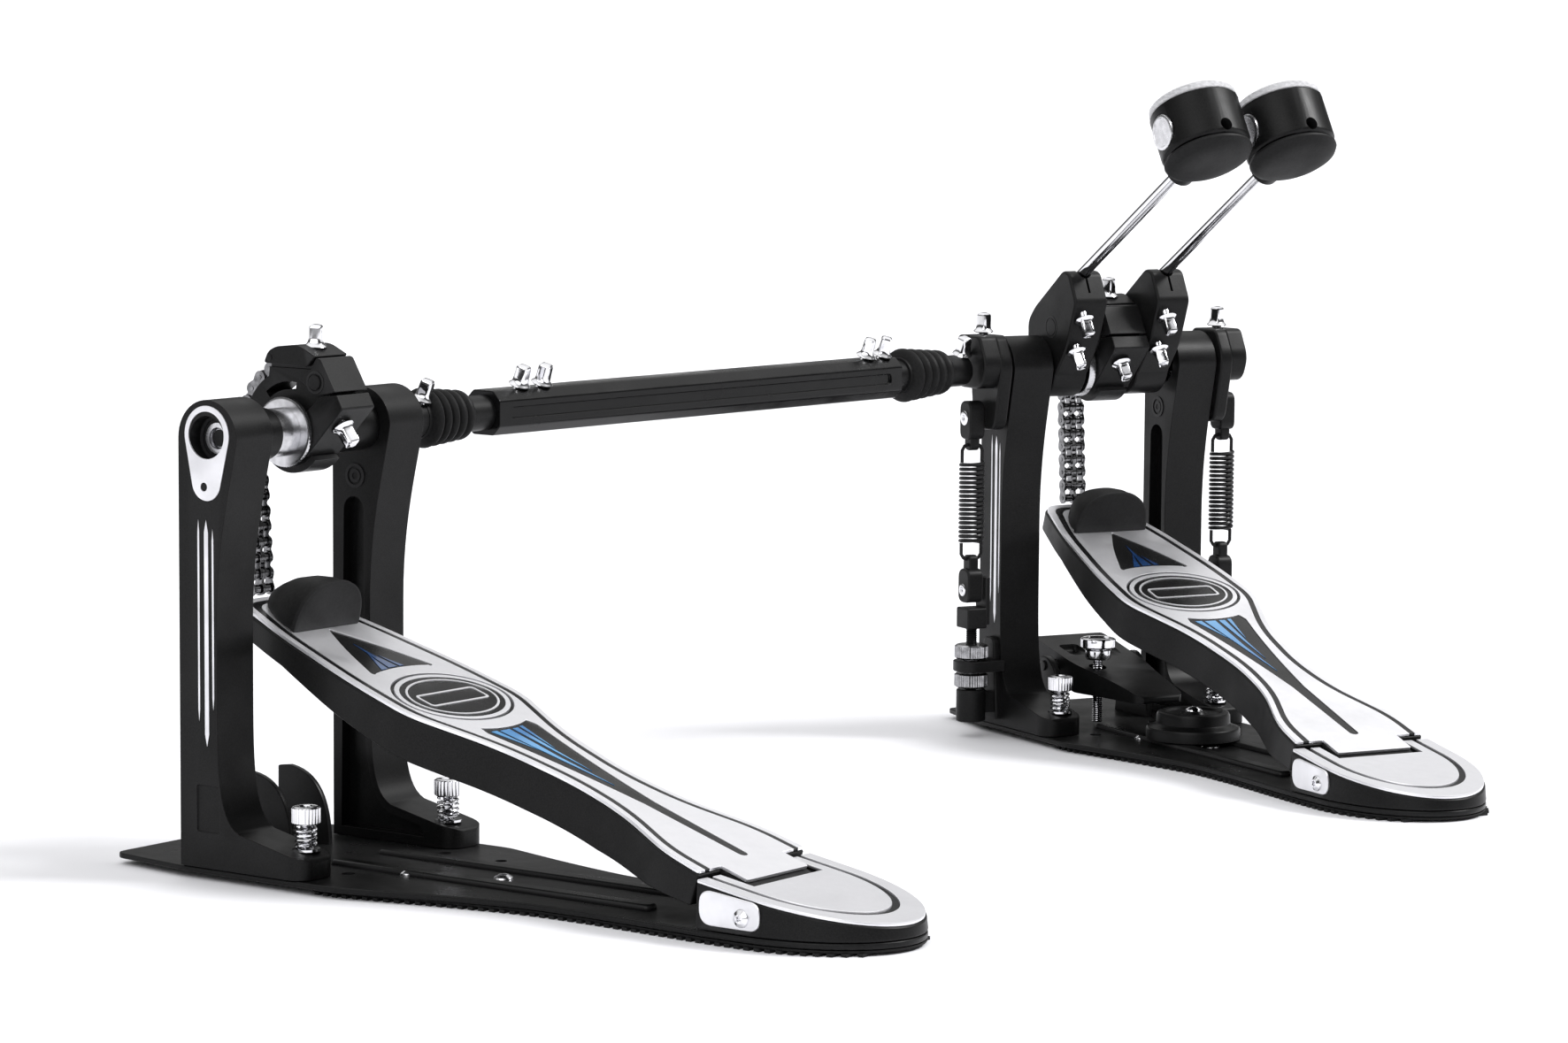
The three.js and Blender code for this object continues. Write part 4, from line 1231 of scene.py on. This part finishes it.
def boot_shape(x0, x1):
    """A bellows boot: five round ribs that shrink away from the slave pedal."""
    ribs, steps = 5, 6
    profile = [(x0, 8.6), (x0 + 0.2, 10.4)]
    pitch = (x1 - x0 - 4) / ribs
    for rib in range(ribs):
        share = rib / (ribs - 1)
        peak = 15.4 - 2.4 * share
        for step in range(steps):
            t = step / steps
            radius = 10.6 + (peak - 10.6) * math.sin(math.pi * t) ** 0.7
            profile.append((x0 + 2 + pitch * (rib + t), radius))
    profile += [(x1 - 2, 10.6), (x1, 9.4), (x1, 8.6)]
    return turned(profile, "x", sides=48)


def drive_neck(x0, x1, radius=9.4):
    return soften(turned([(x0, radius), (x1, radius)], "x", sides=40), 0.7, 3)


# ---- Hoop clamp ----

def clamp_ears():
    """The two lugs on the base plate that carry the clamp's pivot pin."""
    outline = rounded([(-14, 5), (24, 5), (20, 36, 8), (6, 46, 8), (-8, 36, 8)])
    ears = [soften(prism(outline, x, x + 4, "x"), 0.9, 3, 45) for x in (28, -32)]
    pin = turned([(-33, 2.4), (-32.6, 3), (32.6, 3), (33, 2.4)], "x", CLAMP_PIVOT, 24)
    return merged(*ears, pin)


def clamp_arm():
    """The rocking lever: a humped cast beam, narrower at the jaw."""
    side = rounded([
        (66, 30, 2), (66, 38, 3), (36, 52, 6), (20, 49, 6), (-10, 42, 12), (-60, 32, 10),
        (-74, 28, 3), (-74, 24, 2), (-40, 24, 6), (-12, 24, 5), (6, 34, 6), (40, 40, 4),
        (60, 30, 1),
    ])
    plan = rounded(mirrored([(15, -75, 8), (19, -40, 10), (24, -14, 8), (24, 66, 3)]), 8)
    beam = common(prism(side, -24, 24, "x"), prism(plan, 0, 80))
    tools = [
        turned([(-60, 3.3), (60, 3.3)], "x", CLAMP_PIVOT, 24),
        turned([(0, 5.2), (80, 5.2)], "z", (*CLAMP_SCREW_AT, 0), 28),
        soften(block((4, -8, 43), (17, 16, 70)), 3),
        soften(block((-17, -2, 43), (-4, 16, 70)), 3),
    ]
    return soften(carved(soften(beam, 1.4, 3, 40), *tools), 0.4, 2, 55)


def clamp_pad():
    """A rubber facing under the jaw, where it meets the hoop."""
    return soften(block((-22, 44, 30.6), (22, 62, 33)), 0.8, 2)


def clamp_screw_shape():
    """The wide knurled head, its neck and the threaded shank."""
    thread = [(7 + i * 0.6, 3.0 if i % 2 else 2.5) for i in range(62)]
    shank = turned(thread, at=(*CLAMP_SCREW_AT, 0), sides=24)
    collar = turned([(44, 2.8), (44, 6.6), (45.5, 7.6), (49.5, 7.8), (51, 6.4), (51, 2)],
                    at=(*CLAMP_SCREW_AT, 0), sides=36)
    return merged(shank, collar, knurled_knob((*CLAMP_SCREW_AT, 50.8), 10.4, 6.1, 72))


def clamp_cap():
    """The big stepped round cap at the front of the base plate."""
    bottom = PLATE_TOP + 2.9
    profile = [
        (bottom, 26), (bottom, 27), (14.2, 27), (15.4, 26.2), (15.9, 24.2), (16.3, 23.6),
        (16.6, 22.2), (17.6, 21.2), (22.2, 21.0), (23.8, 20.2), (24.4, 18.4), (24.0, 16.5),
        (22.8, 15.4), (22.8, 7.5), (24.2, 6.6), (24.9, 2.0),
    ]
    return turned(profile, at=(0, CAP_Y, 0), sides=72)


def slave_cheek_plates():
    """Two upright rounded cheeks with a cross bar between them."""
    outline = [Vector((34, 5)), Vector((34, 43)), Vector((26, 44)),
               *cubic((26, 44), (8, 42), (0, 28), (0, 5), 14)]
    cheeks = [soften(prism(outline, x, x + 3, "x"), 0.7, 2, 45) for x in (-10, 18)]
    return merged(*cheeks, soften(block((-9, 12, 5), (20, 26, 14)), 1.2))


# ---- One pedal's pieces ----

def add_base(tag, place, frame_body, extras):
    ribs = [plate_rib(x) for x in (-18, 18)]
    bolts = [star_screw((0, -127, PLATE_TOP), (0, 0, 1), 5.2)]
    bolts += [star_screw((x, -84, PLATE_TOP), (0, 0, 1), 4.0) for x in (-20, 20)]
    pin = turned([(-46, 2.2), (-45.6, 3), (45.6, 3), (46, 2.2)], "x", (0, HINGE_Y, HINGE_Z), 24)
    pieces(
        tag, place, frame_body,
        ("base_plate", merged(base_plate(), *ribs, *extras), "plate_black", "baseplate"),
        ("heel_mat", ribbed_mat(), "rubber", "floor_mat"),
        ("drum_pad", rear_pads(), "rubber", "rear_pad"),
        ("base_bolts", merged(*bolts), "steel"),
        ("heel_casting", heel_casting(), "cast_black", "heel_block"),
        ("heel_plate", heel_plate(), "silver"),
        ("heel_groove", heel_groove(), "plastic"),
        ("heel_pin", pin, "chrome", "hinge_pin"),
    )
    for label, side in SIDES:
        screw = star_screw((side * (HEEL_HALF + 1.1), HINGE_Y, HINGE_Z), (side, 0, 0), 4.4)
        pieces(
            f"{tag}_{label}", place, frame_body,
            ("hinge_plate", hinge_side_plate(side), "silver"),
            ("hinge_screw", screw, "chrome"),
        )


def add_posts(tag, place, frame_body, left_bore, bracket):
    for label, side in SIDES:
        inner = left_bore if side < 0 else AXLE_BORE
        pieces(
            f"{tag}_{label}", place, frame_body,
            ("tower", post_casting(side, bracket), "cast_black", "post"),
            ("inlay", post_inlay(side), "silver"),
            ("stripes", post_stripes(side), "silver"),
            ("race", bearing_race(side, inner), "cast_black", "bearing"),
            ("inner_race", race_ring(side, inner, inner + 2.2, 0.2), "brushed"),
        )
        x, spur = side * SPUR_X, f"{tag}_{label}_spur"
        piece(f"{spur}_screw", spur_screw(x), place, f"{spur}_body", "chrome", spur)
        bendable(f"{spur}_spring", spur_spring(x), place, (frame_body, f"{spur}_body"),
                 (x, SPUR_Y, 20), (x, SPUR_Y, 30.6), "chrome")


def tread_inserts():
    """The dark floors of the tread's groove, badge and triangles."""
    groove = tread_groove(TREAD_BOTTOM, TREAD_TOP - 0.3, 0.1)
    return merged(
        common(groove, block((-60, 32, 0), (60, 400, 20))),
        prism(oval(0, BADGE_Y, 30.4, 22.4), TREAD_BOTTOM, TREAD_TOP - 0.5),
        prism(upper_insert(0.25), TREAD_BOTTOM, TREAD_TOP - 0.5),
        prism(lower_insert(0.25), TREAD_BOTTOM, TREAD_TOP - 0.5),
    )


def add_board(tag, place, board_body):
    hinge = Matrix.Translation((0, HINGE_Y, HINGE_Z)) @ Matrix.Rotation(BOARD_ANGLE, 4, "X")
    floor = soften(prism(board_outline(1.6, 33), BOARD_TOP - 0.2, TREAD_BOTTOM + 0.15), 0.1, 1)
    pieces(
        tag, place @ hinge, board_body,
        ("board_casting", board_casting(), "cast_black", "footboard"),
        ("tread_plate", tread_plate(), "silver", "tread"),
        ("tread_backing", floor, "gloss_black"),
        ("tread_inserts", tread_inserts(), "gloss_black"),
        ("badge_trim", badge_trim(), "silver"),
        ("heel_streaks", heel_streaks(), "blue_film"),
        ("toe_streaks", toe_streaks(), "deep_blue"),
        ("toe_bumper", toe_stop(), "rubber", "toe_stop"),
    )


def add_cam(tag, place, axle_body, chain_body):
    top = key_bolt((0, -8, AXLE_Z + 38.8), (0, -0.06, 1), 30)
    nose = key_bolt((-2.5, -26.5, AXLE_Z + 5.2), (0, -0.62, -0.78), 20)
    pieces(
        tag, place, axle_body,
        ("cam_casting", merged(cam_body(), cam_side_bosses(), cam_teeth()), "cast_black", "cam"),
        ("cam_top_bolt", top, "chrome"),
        ("cam_nose_bolt", nose, "chrome"),
    )
    hanging = ("hanging_chain", chain_run(hanging_pins()), "chain_steel", "chain")
    pieces(tag, place, chain_body, hanging)
    pieces(tag, place, axle_body, ("rim_chain", chain_run(rim_pins()), "chain_steel"))


def add_pedal(tag, place, left_bore, bracket, extras):
    add_base(tag, place, f"{tag}_frame", extras)
    add_posts(tag, place, f"{tag}_frame", left_bore, bracket)
    add_board(tag, place, f"{tag}_board")
    add_cam(tag, place, f"{tag}_axle", f"{tag}_chain_run")


def add_beater(side, hub_body):
    x = BEATER_X[side]
    aim = (0, -0.56, -0.83)
    bolts = [key_bolt((x - 4, -36.5, AXLE_Z + 32), aim, 12, 7),
             key_bolt((x - 4, -28.5, AXLE_Z + 13), aim, 30, 7)]
    pieces(
        side, MAIN, hub_body,
        ("hub_casting", merged(hub_casting(x), hub_bosses(x)), "cast_black", "beater_hub"),
        ("hub_bolts", merged(*bolts), "chrome"),
    )
    pieces(
        side, MAIN @ rod_place(x), f"{side}_beater",
        ("rod_bar", beater_rod(), "chrome", "beater_rod"),
        ("head_barrel", head_barrel(), "plastic", "beater_head"),
        ("head_rubber", head_rubber(), "rubber"),
        ("head_felt", head_felt(), "felt_wool"),
        ("head_disc", head_disc(), "brushed"),
    )


def add_spring(label, side, axle_body):
    top = key_bolt((side * 80, -1, AXLE_Z + 19.6), (0, -0.05, 1), 25)
    pieces(
        label, MAIN, axle_body,
        ("crank_arm", crank(side), "cast_black", "crank"),
        ("crank_bolt", top, "chrome"),
    )
    pieces(
        label, MAIN, f"{label}_spring_top",
        ("upper_link", clevis(side, 174.5, 197, 168, 178), "cast_black", "spring_clevis"),
        ("upper_screw", pan_screw(side * 91, 0, 187, side), "chrome"),
    )
    pieces(
        label, MAIN, f"{label}_spring_swing",
        ("lower_link", clevis(side, 79, 99, 94, 107), "cast_black", "lower_clevis"),
        ("lower_screw", pan_screw(side * 91, 0, 86.5, side, 3.6), "chrome"),
    )
    bodies = (f"{label}_spring_swing", f"{label}_spring_top")
    ends = (side * SPRING_X, 0, 106), (side * SPRING_X, 0, 168)
    wire = merged(spring_wire(side), spring_hooks(side))
    bendable(f"{label}_spring_wire", wire, MAIN, bodies, *ends, "wire", f"{label}_spring")
    pieces(label, MAIN, f"{label}_tension",
           ("tension_screw", tension_rod(side), "cast_black", "tension_rod"))
    pieces(label, MAIN, f"{label}_nut",
           ("knurled_wheels", knurled_wheels(side), "nickel", "tension_nut"))


def add_main_line():
    """The main pedal's axle and the short sleeve that carries the left crank."""
    profile = [(-80, 4.4), (-79.4, 5), (-17.5, 5), (84, 5), (84, 0.2)]
    piece("main_axle_bar", shaft_run(profile), MAIN, "main_axle", "steel", "main_shaft")
    piece("main_knurled_ring", knurled_ring(-17.5, -12.6), MAIN, "main_axle", "steel")
    sleeve = soften(shaft_run([(-76, 8), (-41, 8)]), 0.5, 2)
    sleeve = carved(sleeve, shaft_run([(-90, 5.4), (-30, 5.4)]))
    piece("left_crank_sleeve", sleeve, MAIN, "left_axle", "steel")
    bolt = key_bolt((-95.5, -3.3, AXLE_Z + 7.2), (-0.05, -0.35, 0.93), 25, 4)
    piece("left_knuckle_bolt", bolt, MAIN, "left_axle", "chrome")
    collars = shaft_run([(37.3, 5.1), (37.3, 9.2), (42.0, 9.2), (42.0, 5.1), (37.3, 5.1)])
    piece("main_collar", collars, MAIN, "main_axle", "steel")


def add_slave_line():
    """The slave pedal's axle with its bushing, collars and the outer knuckle."""
    profile = [(-60, 4.4), (-59.4, 5), (-28, 5), (-28, 12), (-15.5, 12), (-15.5, 5),
               (70, 5), (70, 9), (78, 9), (78, 5), (84, 5), (84, 0.2)]
    piece("slave_axle_bar", shaft_run(profile), SLAVE, "slave_axle", "steel", "slave_shaft")
    piece("slave_knurled_ring", knurled_ring(-15.4, -12.6), SLAVE, "slave_axle", "steel")
    bushings = [soften(shaft_run([(x0, 12.8), (x1, 12.8)]), 1.0, 3)
                for x0, x1 in ((-42.6, -28.2), (12.6, 42.6))]
    centre = shaft_run([(-60.4, 4.2), (-60.1, 4.2)])
    piece("slave_bushing", merged(*bushings, centre), SLAVE, "slave_axle", "plastic")
    yoke = soften(shaft_run([(79.2, 9.6), (87, 9.6), (87, 8.5), (93, 8.5)]), 0.6, 2)
    piece("slave_knuckle", yoke, SLAVE, "slave_axle", "cast_black", "slave_yoke")
    bolt = key_bolt((85, -3.3, AXLE_Z + 7.6), (0.05, -0.35, 0.93), 15, 4)
    piece("slave_knuckle_bolt", bolt, SLAVE, "slave_axle", "chrome")


def drive_place():
    """The drive line's own axes: x from the slave joint to the main joint."""
    start = Vector(JOINTS["drive_inner_turn"]["pos_m"])
    reach = Vector(JOINTS["drive_outer_turn"]["pos_m"]) - start
    along = reach.normalized()
    basis = Matrix((along, Vector((0, 0, 1)).cross(along), (0, 0, 1))).transposed()
    place = Matrix.Translation(start) @ basis.to_4x4() @ Matrix.Scale(0.001, 4)
    return place, reach.length * 1000


def add_drive_line():
    place, length = drive_place()
    rod = turned([(14, 5.4), (14.6, 6), (184.4, 6), (185, 5.4)], "x", sides=6)
    piece("drive_inner_bar", rod, place, "drive_inner", "steel", "drive_rod")
    piece("drive_outer_tube", drive_tube_shape(), place, "drive_outer", "gloss_black",
          "drive_tube")
    neck = merged(drive_neck(376, 392, 9.2), drive_neck(426, length - 3, 9.2))
    piece("drive_outer_neck", neck, place, "drive_outer", "cast_black")
    sleeve = carved(drive_neck(26, 44, 9.2), turned([(0, 6.6), (60, 6.6)], "x", sides=32))
    piece("drive_inner_neck", sleeve, place, "drive_inner", "cast_black")
    piece("slave_bellows", boot_shape(-7, 28), place, "drive_inner", "rubber", "slave_boot")
    piece("main_bellows", boot_shape(388, 430), place, "drive_outer", "rubber", "main_boot")
    bolts = [key_bolt((x, -3.6, 10.8), (0, -0.33, 0.94), 14 + 9 * i, 3)
             for i, x in enumerate((66, 83, 354, 369))]
    piece("drive_key_bolts", merged(*bolts), place, "drive_outer", "chrome")
    plugs = [turned([(-11.6, 0.2), (-11.5, 2.0), (-10.4, 2.3)], "y", (x, 0, 0), 20)
             for x in (47, 374)]
    piece("drive_set_screws", merged(*plugs), place, "drive_outer", "steel")


def add_clamp():
    pieces(
        "clamp", MAIN, "clamp_lever",
        ("lever_arm", clamp_arm(), "cast_black", "rocker"),
        ("jaw_pad", clamp_pad(), "rubber"),
    )
    pieces("clamp", MAIN, "clamp_screw", ("thumb_screw", clamp_screw_shape(), "chrome", "knob"))
    pieces(
        "clamp", MAIN, "main_frame",
        ("round_cap", clamp_cap(), "plastic", "disc"),
        ("cap_screw", star_screw((0, CAP_Y, 24.4), (0, 0, 1), 5.0), "chrome"),
    )


make_camera()
make_world()
make_sun("key", (-0.75, 0.35, -0.80), 2.6, 20)
make_sun("fill", (0.80, 0.70, -0.60), 1.1, 50)
make_floor()
add_pedal("slave", SLAVE, AXLE_BORE, False, [slave_cheek_plates()])
add_pedal("main", MAIN, SLEEVE_BORE, True, [clamp_ears()])
add_slave_line()
add_main_line()
add_beater("left", "left_axle")
add_beater("right", "main_axle")
add_spring("left", -1, "left_axle")
add_spring("right", 1, "main_axle")
add_drive_line()
add_clamp()
